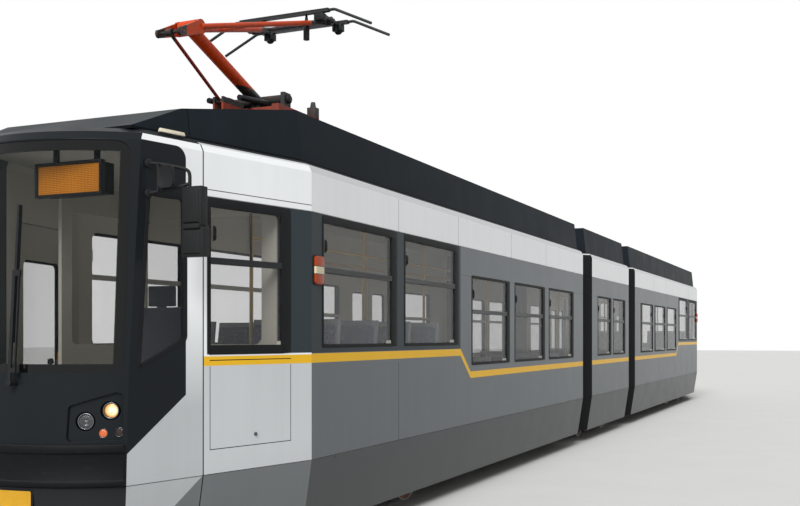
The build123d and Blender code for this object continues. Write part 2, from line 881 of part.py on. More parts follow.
# Middle car: walls, roof, fairing, glass, and a floor with wheel boxes and two gangway plates
middle_outer = middle_car(0, skirt_bottom, wall_top)
middle_inner = middle_car(wall, skirt_bottom - 20, wall_top + 20, end=middle_length / 2 + 100)
middle_seam_outer = middle_car(-5, skirt_seam - seam_width / 2, skirt_seam + seam_width / 2)
middle_seam_inner = middle_car(
    seam_depth, skirt_seam - 20, skirt_seam + 20, end=middle_length / 2 + 60
)
middle_band_outer = middle_car(-5, band_seam - seam_width / 2, band_seam + seam_width / 2)
middle_band_inner = middle_car(
    seam_depth, band_seam - 20, band_seam + 20, end=middle_length / 2 + 60
)
with BuildPart() as middle_walls:
    add(middle_outer)
    add(middle_inner, mode=Mode.SUBTRACT)
    for side in (1, -1):
        extrude(
            window_sketch(flat_plane(side), middle_windows, side), amount=2 * wall,
            both=True, mode=Mode.SUBTRACT,
        )
with BuildPart() as middle_rings:
    add(middle_seam_outer)
    add(middle_band_outer)
    add(middle_seam_inner, mode=Mode.SUBTRACT)
    add(middle_band_inner, mode=Mode.SUBTRACT)
with BuildPart() as middle_left_wall:
    add(middle_walls.part)
    add(middle_rings.part, mode=Mode.SUBTRACT)
    split(bisect_by=Plane.YZ, keep=Keep.TOP)
with BuildPart() as middle_right_wall:
    mirror(middle_left_wall.part, about=Plane.YZ)
with BuildPart() as middle_windows_glass:
    for side in (1, -1):
        extrude(
            window_sketch(
                flat_plane(side, glass_inset + glass_thick), middle_windows, side, fit
            ),
            amount=glass_thick,
        )
middle_roof_form = middle_car(0, wall_top, roof_edge)
with BuildPart() as middle_roof:
    add(middle_roof_form)
with BuildPart() as middle_fairing:
    for cut in (0, fairing_wall):
        with BuildSketch(Plane.XY.offset(roof_edge - cut)):
            Rectangle(
                2 * (half_width - fairing_inset - cut), middle_length - 200 - 2 * cut
            )
        with BuildSketch(Plane.XY.offset(fairing_top - cut)):
            Rectangle(
                2 * (half_width - fairing_inset - fairing_lean - cut),
                middle_length - 200 - 2 * cut,
            )
        loft(ruled=True, mode=Mode.SUBTRACT if cut else Mode.ADD)

box_outer = 1085
box_inner = 620
box_half = 390
box_top = 690
middle_floor_form = middle_car(wall + fit, low_under, low_floor)
middle_box_form = middle_car(wall + fit, low_under - 20, box_top)
with BuildPart() as middle_floor:
    add(middle_floor_form)
    for turn in (1, -1):
        with Locations((0, turn * hinge_y, low_under)):
            Cylinder(
                gangway_radius, floor_thick, align=(Align.CENTER, Align.CENTER, Align.MIN)
            )
            # Coupling pin with a collar that carries the end car's eye
            Cylinder(
                coupling_pin, low_under - arm_low + 40,
                align=(Align.CENTER, Align.CENTER, Align.MAX),
            )
        with Locations((0, turn * hinge_y, arm_low - fit)):
            Cylinder(
                coupling_pin + 40, 30, align=(Align.CENTER, Align.CENTER, Align.MAX)
            )
        for side in (1, -1):
            y = turn * trailer_wheelbase / 2
            span(
                (min(side * box_inner, side * box_outer), y - box_half, low_under),
                (max(side * box_inner, side * box_outer), y + box_half, box_top),
            )
            span(
                (min(side * (wheel_back - 40), side * 880), y - box_half + 30, low_under - 50),
                (max(side * (wheel_back - 40), side * 880), y + box_half - 30, box_top - 30),
                Mode.SUBTRACT,
            )

# Bellows over the two joints, plain hoops open at the foot
bellows_inner = 930
bellows_outer = 1040
bellows_low = low_under - 90
bellows_high = 3050
with BuildPart() as front_bellows:
    with BuildSketch(Plane.XZ.offset(middle_length / 2)) as hoop:
        with Locations((0, (bellows_low + bellows_high) / 2)):
            RectangleRounded(2 * bellows_outer, bellows_high - bellows_low, 150)
        with Locations((0, (bellows_low - 300 + bellows_high - 110) / 2)):
            Rectangle(
                2 * bellows_inner, bellows_high - 110 - bellows_low + 300, mode=Mode.SUBTRACT
            )
    extrude(amount=joint_gap)


# Seats: profile of one seat drawn from the side, pulled across its width
seat_height = 430
seat_depth = 430
back_height = 560


def seat_row(centre, width, y, facing, floor):
    """Bench on a pedestal. Facing is -1 towards the front, 1 towards the rear."""
    plane = Plane(origin=(centre - width / 2, y, floor), x_dir=(0, facing, 0), z_dir=(facing, 0, 0))
    with BuildPart() as bench:
        with BuildSketch(plane):
            with BuildLine():
                Polyline(
                    (0, seat_height - 90), (seat_depth, seat_height - 60),
                    (seat_depth, seat_height), (60, seat_height - 20),
                    (-40, seat_height + back_height), (-90, seat_height + back_height), close=True,
                )
            make_face()
        extrude(amount=width * facing)
        with Locations((centre, y + facing * seat_depth / 2, floor)):
            Box(
                width * 0.4, 240, seat_height - 70,
                align=(Align.CENTER, Align.CENTER, Align.MIN),
            )
    return bench.part


pair_centre = 690
pair_width = 840
single_centre = -890
single_width = 440
# Seats of the front car: centre, width, place of the back ahead of the joint end, floor
seat_places = [
    (pair_centre, pair_width, 8470, high_floor),
    (pair_centre, pair_width, 7710, high_floor),
    (pair_centre, pair_width, 6950, high_floor),
    (pair_centre, pair_width, 6190, high_floor),
    (single_centre, single_width, 7710, high_floor),
    (single_centre, single_width, 6950, high_floor),
    (single_centre, single_width, 6190, high_floor),
    (pair_centre - 30, pair_width, 4390, low_floor),
    (pair_centre - 30, pair_width, 1970, low_floor),
    (pair_centre - 30, pair_width, 1210, low_floor),
    (single_centre + 30, single_width, 4390, low_floor),
    (single_centre + 30, single_width, 1210, low_floor),
]
front_benches = [
    seat_row(centre, width, -end_plane - ahead, -1, floor)
    for centre, width, ahead, floor in seat_places
]
rear_benches = [
    seat_row(centre, width, end_plane + ahead + seat_depth, -1, floor)
    for centre, width, ahead, floor in seat_places
]
rear_benches.append(
    seat_row(pair_centre - 130, pair_width - 120, taper_start + 540, -1, high_floor)
)
with BuildPart() as front_seats:
    for bench in front_benches:
        add(bench)
with BuildPart() as rear_seats:
    for bench in rear_benches:
        add(bench)
middle_benches = [
    seat_row(side * 850, 430, turn * trailer_wheelbase / 2 + 215, -1, box_top - 200)
    for side in (1, -1)
    for turn in (1, -1)
]
with BuildPart() as middle_seats:
    for bench in middle_benches:
        add(bench)
    span((-half_width, -2000, low_floor - 100), (half_width, 2000, box_top), Mode.SUBTRACT)

# Handrails: upright poles from floor to roof, tied by ceiling rails
pole_radius = 17
rail_radius = 14
rail_z = 2620
# Poles of the front car by side of the aisle: X, place ahead of the joint end, floor
pole_lines = [
    [(230, 8410, high_floor), (230, 6130, high_floor), (200, 4330, low_floor),
     (200, 1910, low_floor)],
    [(-640, 6130, high_floor), (-620, 4330, low_floor), (-620, 1150, low_floor)],
]


def pole_set(flip):
    with BuildPart() as rails:
        for line in pole_lines:
            tops = [(x, -flip * (end_plane + ahead), rail_z) for x, ahead, floor in line]
            for (x, y, z), (_, _, floor) in zip(tops, line):
                rod_between((x, y, floor), (x, y, wall_top), pole_radius)
            for start, finish in zip(tops, tops[1:]):
                rod_between(start, finish, rail_radius)
    return rails.part


front_rails = pole_set(1)
rear_rails = pole_set(-1)
with BuildPart() as front_handrails:
    add(front_rails)
with BuildPart() as rear_handrails:
    add(rear_rails)

# Cab: console across the nose, driver's seat, bulkhead and partition
console_form = end_car(wall + lamp_depth, high_floor, 1420)
console_y = -tip_y + 520
with BuildPart() as cab_console:
    with BuildSketch(Plane.YZ):
        with BuildLine():
            Polyline(
                (-tip_y, high_floor), (console_y, high_floor), (console_y, 1150),
                (console_y + 210, 1230), (console_y + 210, 1290), (console_y, 1380),
                (console_y - 120, 1420), (-tip_y, 1420), close=True,
            )
        make_face()
    extrude(amount=half_width, both=True)
    add(console_form, mode=Mode.INTERSECT)

seat_y = -tip_y + 1180
with BuildPart() as driver_seat:
    with Locations((250, seat_y, high_floor)):
        Cylinder(150, 30, align=(Align.CENTER, Align.CENTER, Align.MIN))
        Cylinder(60, 400, align=(Align.CENTER, Align.CENTER, Align.MIN))
    span((10, seat_y - 240, high_floor + 400), (490, seat_y + 220, high_floor + 500))
    span((40, seat_y + 180, high_floor + 480), (460, seat_y + 270, high_floor + 1080))
    span((130, seat_y + 190, high_floor + 1060), (370, seat_y + 260, high_floor + 1240))

bulkhead_y = -tip_y + 1780
partition_y = -tip_y + 880
bulkhead_x = -290
bulkhead_top = 2900
bulkhead_form = end_car(wall + fit, high_floor, bulkhead_top)
with BuildPart() as cab_bulkhead:
    with BuildSketch(Plane.XY.offset(high_floor)):
        with BuildLine():
            Polyline(
                (bulkhead_x, bulkhead_y), (half_width, bulkhead_y), (half_width, bulkhead_y - 30),
                (bulkhead_x + 30, bulkhead_y - 30), (bulkhead_x + 30, partition_y),
                (bulkhead_x, partition_y), close=True,
            )
        make_face()
    extrude(amount=bulkhead_top - high_floor)
    add(bulkhead_form, mode=Mode.INTERSECT)
    with BuildSketch(Plane.XZ.offset(-bulkhead_y - 50)):
        with Locations((380, 2180)):
            RectangleRounded(1100, 1000, 60)
    extrude(amount=120, mode=Mode.SUBTRACT)
    with BuildSketch(Plane.YZ.offset(bulkhead_x - 20)):
        with Locations((partition_y + 430, 2180)):
            RectangleRounded(640, 1000, 60)
    extrude(amount=80, mode=Mode.SUBTRACT)

# Destination display behind the top of the windscreen
display_y = -tip_y + 330
with BuildPart() as destination_display:
    span((30, display_y, 2690), (570, display_y + 130, 2900))
    for x in (110, 460):
        span((x, display_y + 60, 2880), (x + 30, display_y + 90, wall_top))

# Mirrors on tubes from the nose sides
mirror_y = -tip_y + 560
with BuildPart() as front_mirrors:
    for side in (1, -1):
        along = cab_line / math.cos(taper_angle) + 480
        foot = taper_point(side, along, -fit - 8, 2890)
        low_foot = taper_point(side, along, -fit - 8, 2690)
        for point in (foot, low_foot):
            with BuildSketch(taper_plane(side, -fit)):
                with Locations((-side * along, point[2])):
                    Circle(28)
            extrude(amount=14)
        shoulder = (side * 1090, mirror_y + 30, 2800)
        elbow = (side * 1090, mirror_y, 2740)
        rod_between(foot, shoulder, 12)
        rod_between(low_foot, (side * 1090, mirror_y + 30, 2760), 12)
        rod_between(shoulder, (side * 1090, mirror_y + 30, 2400), 12)
        # Wide-angle mirror below, main mirror above
        with Locations((side * 1135, mirror_y + 30, 2363)):
            Box(170, 80, 192)
        with Locations((side * 1128, mirror_y + 30, 2600)):
            Box(156, 74, 260)

# Wiper on a pivot under the windscreen, with a tall blade
wiper_x = 130
wiper_z = 1440
wiper_tilt = math.atan((screen_lean - foot_lean / 3) / (wall_bend - screen_foot))
wiper_plane = Plane(
    origin=(wiper_x, front_y(wiper_x, screen_foot), screen_foot),
    x_dir=(1, 0, 0),
    z_dir=(0, -math.cos(wiper_tilt), math.sin(wiper_tilt)),
)
with BuildPart() as wiper:
    with BuildSketch(wiper_plane.offset(-20)):
        with Locations((0, wiper_z - screen_foot)):
            Circle(22)
    extrude(amount=85)
    with BuildSketch(wiper_plane.offset(45)):
        with Locations((0, (wiper_z - screen_foot + 640) / 2)):
            Rectangle(24, 640 - wiper_z + screen_foot + 20)
        with Locations((42, 340)):
            Rectangle(10, 640)
        with Locations((20, 650)):
            Rectangle(66, 40)
        with Locations((20, 20)):
            Rectangle(56, 30)
    extrude(amount=14)
    with BuildSketch(wiper_plane.offset(18)):
        with Locations((0, 650)):
            Rectangle(18, 900)
    extrude(amount=28)
with BuildPart() as wiper_hole:
    with BuildSketch(wiper_plane.offset(-150)):
        with Locations((0, wiper_z - screen_foot)):
            Circle(22 + fit)
    extrude(amount=300)
rear_nose_part = front_nose.part
with BuildPart() as front_nose:
    add(rear_nose_part)
    add(wiper_hole.part, mode=Mode.SUBTRACT)

# Pantograph base: frame on four insulators, foot bearings, rod bracket
knee_y = foot_y - arm_reach
knee_z = foot_z + arm_rise
insulator_low = fairing_top
insulator_height = 200
front_beam = foot_y - front_beam_ahead
rear_beam = foot_y + rear_beam_behind
frame_z = fairing_top + insulator_height
with BuildPart() as pantograph_base:
    for x in (-450, 450):
        for y in (front_beam, rear_beam):
            foot = Plane(origin=(x, y, insulator_low), x_dir=(1, 0, 0), z_dir=(0, -1, 0))
            with BuildSketch(foot):
                with BuildLine():
                    Polyline(
                        (0, 0), (70, 0), (70, 25), (40, 35), (40, 60), (75, 70), (40, 90),
                        (40, 105), (75, 115), (40, 135), (40, 160), (60, 170),
                        (60, insulator_height), (0, insulator_height), close=True,
                    )
                make_face()
            revolve(axis=Axis((x, y, insulator_low), (0, 0, 1)))
        span(
            (x - 35, front_beam - beam_overhang, frame_z),
            (x + 35, rear_beam + beam_overhang, frame_z + 60),
        )
    for y in (front_beam, rear_beam):
        span((-450, y - 30, frame_z), (450, y + 30, frame_z + 60))
    # Foot bearings for the lower arm
    for side in (1, -1):
        span((side * 300 - 20, foot_y - 60, frame_z), (side * 300 + 20, foot_y + 60, foot_z + 60))
        span(
            (min(side * 280, side * 450), foot_y - 50, frame_z),
            (max(side * 280, side * 450), foot_y + 50, frame_z + 40),
        )
    rod_between((-330, foot_y, foot_z), (330, foot_y, foot_z), pin_radius)
    # Bracket and pin of the coupling rod
    for side in (1, -1):
        span(
            (side * 45 - 10, rod_foot_y - 40, frame_z),
            (side * 45 + 10, front_beam, rod_foot_z + 35),
        )
    rod_between((-60, rod_foot_y, rod_foot_z), (60, rod_foot_y, rod_foot_z), rod_pin)

with BuildPart() as pantograph_lower_arm:
    rod_between((-270, foot_y, foot_z), (270, foot_y, foot_z), 48)
    rod_between((0, foot_y, foot_z), (0, knee_y, knee_z), arm_tube)
    rod_between((-84, knee_y, knee_z), (84, knee_y, knee_z), 62)
    rod_between(
        (-300, foot_y, foot_z), (300, foot_y, foot_z), pin_radius + pin_play, Mode.SUBTRACT
    )
    rod_between(
        (-120, knee_y, knee_z), (120, knee_y, knee_z), pin_radius + pin_play, Mode.SUBTRACT
    )

upper_angle = math.atan2(head_z - knee_z, head_y - knee_y)
lever = math.radians(lever_angle) + upper_angle
eye_y = knee_y - lever_length * math.cos(lever)
eye_z = knee_z - lever_length * math.sin(lever)
upper_tube = 24
with BuildPart() as pantograph_upper_arm:
    rod_between((-120, knee_y, knee_z), (120, knee_y, knee_z), pin_radius)
    for side in (1, -1):
        rod_between((side * 36, eye_y, eye_z), (side * 120, eye_y, eye_z), rod_pin)
        with BuildSketch(Plane.YZ.offset(side * 108 - 13)):
            with Locations((knee_y, knee_z)):
                Circle(62)
            with Locations((eye_y, eye_z)):
                Circle(34)
            with BuildLine():
                Polyline(
                    (knee_y, knee_z + 62), (knee_y, knee_z - 62), (eye_y, eye_z - 34),
                    (eye_y, eye_z + 34), close=True,
                )
            make_face()
        extrude(amount=26)
        rod_between(
            (side * 114, knee_y, knee_z), (side * 300, head_y, head_z), upper_tube
        )
    rod_between((-450, head_y, head_z), (450, head_y, head_z), 20)
    rod_between((-190, knee_y + 760, knee_z + 760 * math.tan(upper_angle)),
                (190, knee_y + 760, knee_z + 760 * math.tan(upper_angle)), 16)

with BuildPart() as pantograph_rod:
    rod_between((0, rod_foot_y, rod_foot_z), (0, eye_y, eye_z), rod_radius)
    rod_between((-30, rod_foot_y, rod_foot_z), (30, rod_foot_y, rod_foot_z), 26)
    rod_between((-30, eye_y, eye_z), (30, eye_y, eye_z), rod_pin + rod_play + 14)
    rod_between(
        (-60, rod_foot_y, rod_foot_z), (60, rod_foot_y, rod_foot_z), rod_pin + pin_play,
        Mode.SUBTRACT,
    )
    rod_between((-60, eye_y, eye_z), (60, eye_y, eye_z), rod_pin + rod_play, Mode.SUBTRACT)

# Collector head: two strips with drooping horns, carried by suspension boxes on the shaft
strip_top = head_z + 55
with BuildPart() as pantograph_head:
    for turn in (1, -1):
        y = head_y + turn * collector_spacing / 2
        span((-collector_half, y - 25, strip_top - 32), (collector_half, y + 25, strip_top))
        for side in (1, -1):
            with BuildLine() as horn:
                FilletPolyline(
                    (side * (collector_half - 10), y, strip_top - 16),
                    (side * (collector_half + 60), y, strip_top - 16),
                    (side * collector_reach, y, strip_top - collector_droop), radius=80,
                )
            with BuildSketch(Plane(origin=horn.line @ 0, z_dir=horn.line % 0)):
                Circle(14)
            sweep(path=horn.line)
    for side in (1, -1):
        span(
            (side * 395 - 30, head_y - collector_spacing / 2 - 20, head_z - 5),
            (side * 395 + 30, head_y + collector_spacing / 2 + 20, strip_top - 32),
        )
        rod_between((side * 395 - 30, head_y, head_z), (side * 395 + 30, head_y, head_z), 42)
    rod_between((-500, head_y, head_z), (500, head_y, head_z), 20 + pin_play, Mode.SUBTRACT)

# Rear car: the front car turned about the middle, without cab, mirrors and wiper
rear_twins = {
    "rear_left_wall": front_left_wall,
    "rear_right_wall": front_right_wall,
    "rear_floor": front_floor,
    "rear_roof": front_roof,
    "rear_fairing": front_fairing,
    "rear_windows": front_windows,
    "rear_screen": front_screen,
    "rear_bumper": front_bumper,
    "rear_lamps": front_lamps,
    "rear_bogie_frame": front_bogie_frame,
    "rear_bellows": front_bellows,
    "wheelset_5": wheelset_2,
    "wheelset_6": wheelset_1,
    "rear_door": front_door,
    "rear_double_door_rear_leaf": front_double_door_front_leaf,
    "rear_double_door_front_leaf": front_double_door_rear_leaf,
}
pieces = {
    "front_left_wall": front_left_wall.part,
    "front_right_wall": front_right_wall.part,
    "front_nose": front_nose.part,
    "front_bumper": front_bumper.part,
    "front_lamps": front_lamps.part,
    "front_windows": front_windows.part,
    "front_screen": front_screen.part,
    "front_roof": front_roof.part,
    "front_fairing": front_fairing.part,
    "front_floor": front_floor.part,
    "front_seats": front_seats.part,
    "front_handrails": front_handrails.part,
    "cab_console": cab_console.part,
    "driver_seat": driver_seat.part,
    "cab_bulkhead": cab_bulkhead.part,
    "destination_display": destination_display.part,
    "front_mirrors": front_mirrors.part,
    "wiper": wiper.part,
    "front_door": front_door.part,
    "front_double_door_front_leaf": front_double_door_front_leaf.part,
    "front_double_door_rear_leaf": front_double_door_rear_leaf.part,
    "front_bogie_frame": front_bogie_frame.part,
    "wheelset_1": wheelset_1.part,
    "wheelset_2": wheelset_2.part,
    "trailer_frame": trailer_frame.part,
    "wheelset_3": wheelset_3.part,
    "wheelset_4": wheelset_4.part,
    "middle_left_wall": middle_left_wall.part,
    "middle_right_wall": middle_right_wall.part,
    "middle_roof": middle_roof.part,
    "middle_fairing": middle_fairing.part,
    "middle_windows": middle_windows_glass.part,
    "middle_floor": middle_floor.part,
    "middle_seats": middle_seats.part,
    "front_bellows": front_bellows.part,
    "pantograph_base": pantograph_base.part,
    "pantograph_lower_arm": pantograph_lower_arm.part,
    "pantograph_upper_arm": pantograph_upper_arm.part,
    "pantograph_rod": pantograph_rod.part,
    "pantograph_head": pantograph_head.part,
    "rear_seats": rear_seats.part,
    "rear_handrails": rear_handrails.part,
}
for name, twin in rear_twins.items():
    with BuildPart() as turned:
        mirror(twin.part, about=Plane.XZ)
    pieces[name] = turned.part
with BuildPart() as rear_nose:
    mirror(rear_nose_part, about=Plane.XZ)
pieces["rear_nose"] = rear_nose.part

for name, piece in pieces.items():
    piece.label = name
    export_step(piece, f"parts/{name}.step")
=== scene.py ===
import bpy
from math import cos, pi, radians, sin, sqrt
from mathutils import Matrix, Vector


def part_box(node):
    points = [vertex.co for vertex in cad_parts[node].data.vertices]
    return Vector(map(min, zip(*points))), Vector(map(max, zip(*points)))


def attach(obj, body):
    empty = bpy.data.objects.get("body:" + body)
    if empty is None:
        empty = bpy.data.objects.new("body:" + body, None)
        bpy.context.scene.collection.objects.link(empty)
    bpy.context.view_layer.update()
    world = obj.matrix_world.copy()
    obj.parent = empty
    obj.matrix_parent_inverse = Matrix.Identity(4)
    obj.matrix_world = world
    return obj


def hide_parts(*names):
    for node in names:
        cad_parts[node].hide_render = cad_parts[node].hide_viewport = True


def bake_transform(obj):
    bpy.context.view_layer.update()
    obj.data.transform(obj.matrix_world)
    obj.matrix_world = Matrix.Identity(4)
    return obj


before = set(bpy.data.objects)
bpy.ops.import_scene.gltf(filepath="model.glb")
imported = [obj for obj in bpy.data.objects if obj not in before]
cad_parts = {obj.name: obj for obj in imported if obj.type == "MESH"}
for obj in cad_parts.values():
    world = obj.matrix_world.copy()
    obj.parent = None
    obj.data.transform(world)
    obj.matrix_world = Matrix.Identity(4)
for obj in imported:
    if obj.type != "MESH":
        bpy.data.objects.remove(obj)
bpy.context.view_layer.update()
bpy.ops.object.select_all(action="DESELECT")

# ---------------------------------------------------------------- Camera
# Stands to the left of the tram's front at eye height and looks level along the side. The
# frame is raised by a lens shift, because the picture's upright lines stay upright.
camera_data = bpy.data.cameras.new("eye_level_camera")
camera = bpy.data.objects.new("eye_level_camera", camera_data)
bpy.context.scene.collection.objects.link(camera)
camera_data.sensor_width = 36
camera_data.lens = 45.9
camera_data.clip_end = 500
camera_data.shift_y = 0.105
camera.location = (5.09, -18.19, 1.737)
camera.rotation_euler = (radians(90), 0, radians(23.8))
bpy.context.scene.camera = camera

# ---------------------------------------------------------------- Shade, floor and lights
# An open shed: a pale sky all round for the background and the reflections, softer fill
# on the tram itself, one broad lamp over the front left, and a smooth pale floor.
bpy.context.scene.view_settings.view_transform = "Standard"


def tone(sample):
    """Shader colour of a paint sample given in the usual 0 to 255."""
    parts = [part / 255 for part in sample]
    return (*[p / 12.92 if p <= 0.04045 else ((p + 0.055) / 1.055) ** 2.4 for p in parts], 1.0)


class Value:
    """One number in a material, with the arithmetic that the masks are written in."""

    def __init__(self, finish, socket):
        self.finish, self.socket = finish, socket

    def other(self, output):
        """Another output of the node that made this one."""
        return Value(self.finish, self.socket.node.outputs[output])

    def math(self, operation, other):
        return self.finish.math(operation, self, other)

    def __add__(self, other):
        return self.math("ADD", other)

    def __sub__(self, other):
        return self.math("SUBTRACT", other)

    def __mul__(self, other):
        return self.math("MULTIPLY", other)

    def __radd__(self, other):
        return self.finish.math("ADD", other, self)

    def __rsub__(self, other):
        return self.finish.math("SUBTRACT", other, self)

    def __abs__(self):
        return self.math("ABSOLUTE", 0.0)

    def least(self, other):
        return self.math("MINIMUM", other)

    def most(self, other):
        return self.math("MAXIMUM", other)

    def above(self, edge, soft=0.002):
        """1 where the value is over the edge, 0 under it, over a soft width."""
        ramp = {"operation": "MULTIPLY_ADD", "use_clamp": True}
        return self.finish.node("Math", ramp, {0: self - edge, 1: 1 / soft, 2: 0.5})

    def below(self, edge, soft=0.002):
        return 1 - self.above(edge, soft)

    def within(self, low, high, soft=0.002):
        return self.above(low, soft) * self.below(high, soft)

    def folded(self, length):
        """Runs up and back between 0 and a length, for lines that repeat."""
        return self.math("PINGPONG", length)

    def reach(self, other):
        """Straight distance over two offsets at right angles."""
        return (self * self + other * other).math("POWER", 0.5)


class Finish:
    """A procedural material. Its even qualities are set on the shader when it is made, and
    its colours are paint samples."""

    def __init__(self, name, **even):
        self.material = bpy.data.materials.new(name)
        self.material.use_nodes = True
        self.tree = self.material.node_tree
        self.shader = self.tree.nodes["Principled BSDF"]
        for quality, value in even.items():
            self.shader.inputs[quality.replace("_", " ")].default_value = value

    def node(self, kind, settings, feeds, output=0):
        """Adds a node, sets it up, then gives its sockets their values or links."""
        made = self.tree.nodes.new("ShaderNode" + kind)
        for setting, value in settings.items():
            setattr(made, setting, value)
        for name, value in feeds.items():
            if isinstance(value, Value):
                self.tree.links.new(value.socket, made.inputs[name])
            else:
                made.inputs[name].default_value = value
        return Value(self, made.outputs[output])

    def math(self, operation, first, second):
        return self.node("Math", {"operation": operation}, {0: first, 1: second})

    def place(self, kind="Object"):
        """Left, rearward and upward position on the object."""
        here = self.node("TexCoord", {}, {}, kind)
        left = self.node("SeparateXYZ", {}, {0: here})
        return left, left.other(1), left.other(2)

    def facing(self):
        """Left, rearward and upward parts of the direction the surface faces."""
        return self.place("Normal")

    def rim(self):
        """Near 0 where a pane is seen square on, 1 at a glancing angle."""
        return self.node("LayerWeight", {}, {"Blend": 0.2}, "Facing")

    def grain(self, scale, detail=3.0, stretch=(1, 1, 1)):
        here = self.node("TexCoord", {}, {}, "Object")
        drawn = self.node("Mapping", {}, {"Vector": here, "Scale": stretch})
        return self.node("TexNoise", {}, {"Vector": drawn, "Scale": scale, "Detail": detail})

    def wander(self, low, spread, scale, detail=3.0, stretch=(1, 1, 1)):
        """A number that wanders over the surface from a low value upwards."""
        return self.grain(scale, detail, stretch) * spread + low

    def mix(self, share, under, over):
        """Colour between two colours."""
        under, over = [c if isinstance(c, Value) else tone(c) for c in (under, over)]
        return self.node("Mix", {"data_type": "RGBA"}, {0: share, 6: under, 7: over}, 2)

    def coated(self, colour, *coats):
        """A colour under coats of other colours, each with the mask it covers."""
        for mask, coat in coats:
            colour = self.mix(mask, colour, coat)
        return colour

    def lighter(self, colour, share):
        """A colour scaled by a value near 1."""
        colour = colour if isinstance(colour, Value) else tone(colour)[:3]
        return self.node("VectorMath", {"operation": "SCALE"}, {0: colour, "Scale": share})

    def wear(self, **qualities):
        """Feeds what varies over the surface to the shader."""
        for quality, value in qualities.items():
            self.tree.links.new(value.socket, self.shader.inputs[quality.replace("_", " ")])
        return self

    def relief(self, height, depth):
        """Fine relief on the surface, depth in metres."""
        return self.wear(Normal=self.node("Bump", {}, {"Height": height, "Distance": depth}))


def mottled(name, mottle, dark, light, gloss, relief=None, **even):
    """A plain paint, plastic or metal that is a little uneven. It is given the grain of its
    colour, its two tones, its roughness, and the grain and depth of its relief."""
    finish = Finish(name, **even)
    finish.wear(
        Base_Color=finish.mix(finish.grain(*mottle), dark, light),
        Roughness=finish.wander(*gloss),
    )
    if relief:
        *grain, depth = relief
        finish.relief(finish.grain(*grain), depth)
    return finish


world = bpy.data.worlds.new("pale_shed")
bpy.context.scene.world = world
world.use_nodes = True
sky = world.node_tree
rays = sky.nodes.new("ShaderNodeLightPath")
seen = rays.outputs["Is Camera Ray"]
for kind in ("Is Glossy Ray", "Is Transmission Ray"):
    either = sky.nodes.new("ShaderNodeMath")
    either.operation = "MAXIMUM"
    sky.links.new(seen, either.inputs[0])
    sky.links.new(rays.outputs[kind], either.inputs[1])
    seen = either.outputs[0]
sky_level = sky.nodes.new("ShaderNodeMapRange")
sky_level.inputs["To Min"].default_value = 0.32
sky_level.inputs["To Max"].default_value = 1.0
sky_shader = sky.nodes["Background"]
sky_shader.inputs["Color"].default_value = (1, 1, 1, 1)
sky.links.new(seen, sky_level.inputs["Value"])
sky.links.new(sky_level.outputs[0], sky_shader.inputs["Strength"])

key_data = bpy.data.lights.new("broad_key", "SUN")
key_data.energy = 3.6
key_data.angle = radians(28)
key = bpy.data.objects.new("broad_key", key_data)
bpy.context.scene.collection.objects.link(key)
key.rotation_euler = Vector((-0.17, 0.80, -0.58)).to_track_quat("-Z", "Y").to_euler()

floor_finish = mottled(
    "smooth_floor", (1.2,), (214, 214, 212), (222, 222, 221), (0.7, 0.1, 3.0),
    Specular_IOR_Level=0.15,
)
bpy.ops.mesh.primitive_plane_add(size=240, location=(0, 0, 0))
floor = bpy.context.object
floor.name = "studio_floor"
floor.data.materials.append(floor_finish.material)
bpy.ops.object.select_all(action="DESELECT")

# ---------------------------------------------------------------- Side walls and their paint
# Welded steel walls, sprayed silver grey below and white above, with a dark window belt in
# the high part and a yellow stripe that steps down behind it. Inside they have pale lining.
# The silver and the skirt grey are one paint each. They are painted darker along the straight
# sides as painted shade and lighter on the drawn-in cab ends as painted light. The window
# reveals, the wall ends by the bellows and the top shoulder of the straight walls carry painted
# shade.
WHITE = (240, 243, 244)
# One silver and one skirt grey, each given as a shaded tone for the straight sides (painted shade)
# and a lit tone for the drawn-in cab ends (painted light).
SHADED_SILVER, LIT_CAB_SILVER = (110, 115, 118), (200, 204, 206)
SHADED_SKIRT_GREY, LIT_CAB_SKIRT = (84, 88, 90), (116, 121, 123)
BELT_GREY = (52, 60, 65)
STRIPE_YELLOW = (238, 186, 44)
# Black of the panel joints, also used for the painted shadow along the fairing's foot.
SEAM_AND_SHADOW_BLACK = (22, 23, 25)
LINING = (222, 218, 206)
SKIRT_LINE, WAIST, BELT_TOP = 0.765, 1.61, 2.73
STRIPE_LOW, STRIPE_HIGH = 1.533, 1.606
STEP_START, STEP_RUN, STEP_DROP = 7.73, 0.32, 0.255
TAPER_START, CAB_LINE = 11.1, 12.165
HATCH_REAR, HATCH_FRONT, HATCH_LOW, HATCH_TOP = 11.33, 12.139, 0.937, 1.53
CANTRAIL_SEAM, DOOR_HEAD_SEAM, SILL_SEAM, NOSE_SEAM = 2.775, 2.415, 1.568, 12.193
GAP = 0.006


def dress(finish, *names):
    """Gives CAD nodes a finish."""
    for name in names:
        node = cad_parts[name]
        if node.material_slots:
            for slot in node.material_slots:
                slot.material = finish.material
        else:
            node.data.materials.append(finish.material)


def weathered(finish, colour, up):
    """Road film that thickens towards the skirt, with faint streaks and mottle."""
    mottle = finish.grain(2.2, 6.0, (1, 1, 0.25)) + 0.4
    film = (0.9 - up).most(0.0) * 0.35 * mottle
    streaks = finish.grain(9.0, 5.0, (1, 1, 0.04)) * 0.09
    shade = finish.wander(0.98, 0.07, 0.8) - streaks
    return finish.mix(film.least(0.5), finish.lighter(colour, shade), (96, 92, 86))


def shell_skin(finish, colour):
    """Glossy sprayed skin, very slightly wavy."""
    finish.wear(Base_Color=colour, Roughness=finish.wander(0.26, 0.12, 3.0, 4.0))
    finish.relief(finish.grain(1.7, 1.0, (1, 1, 0.6)), 0.004)


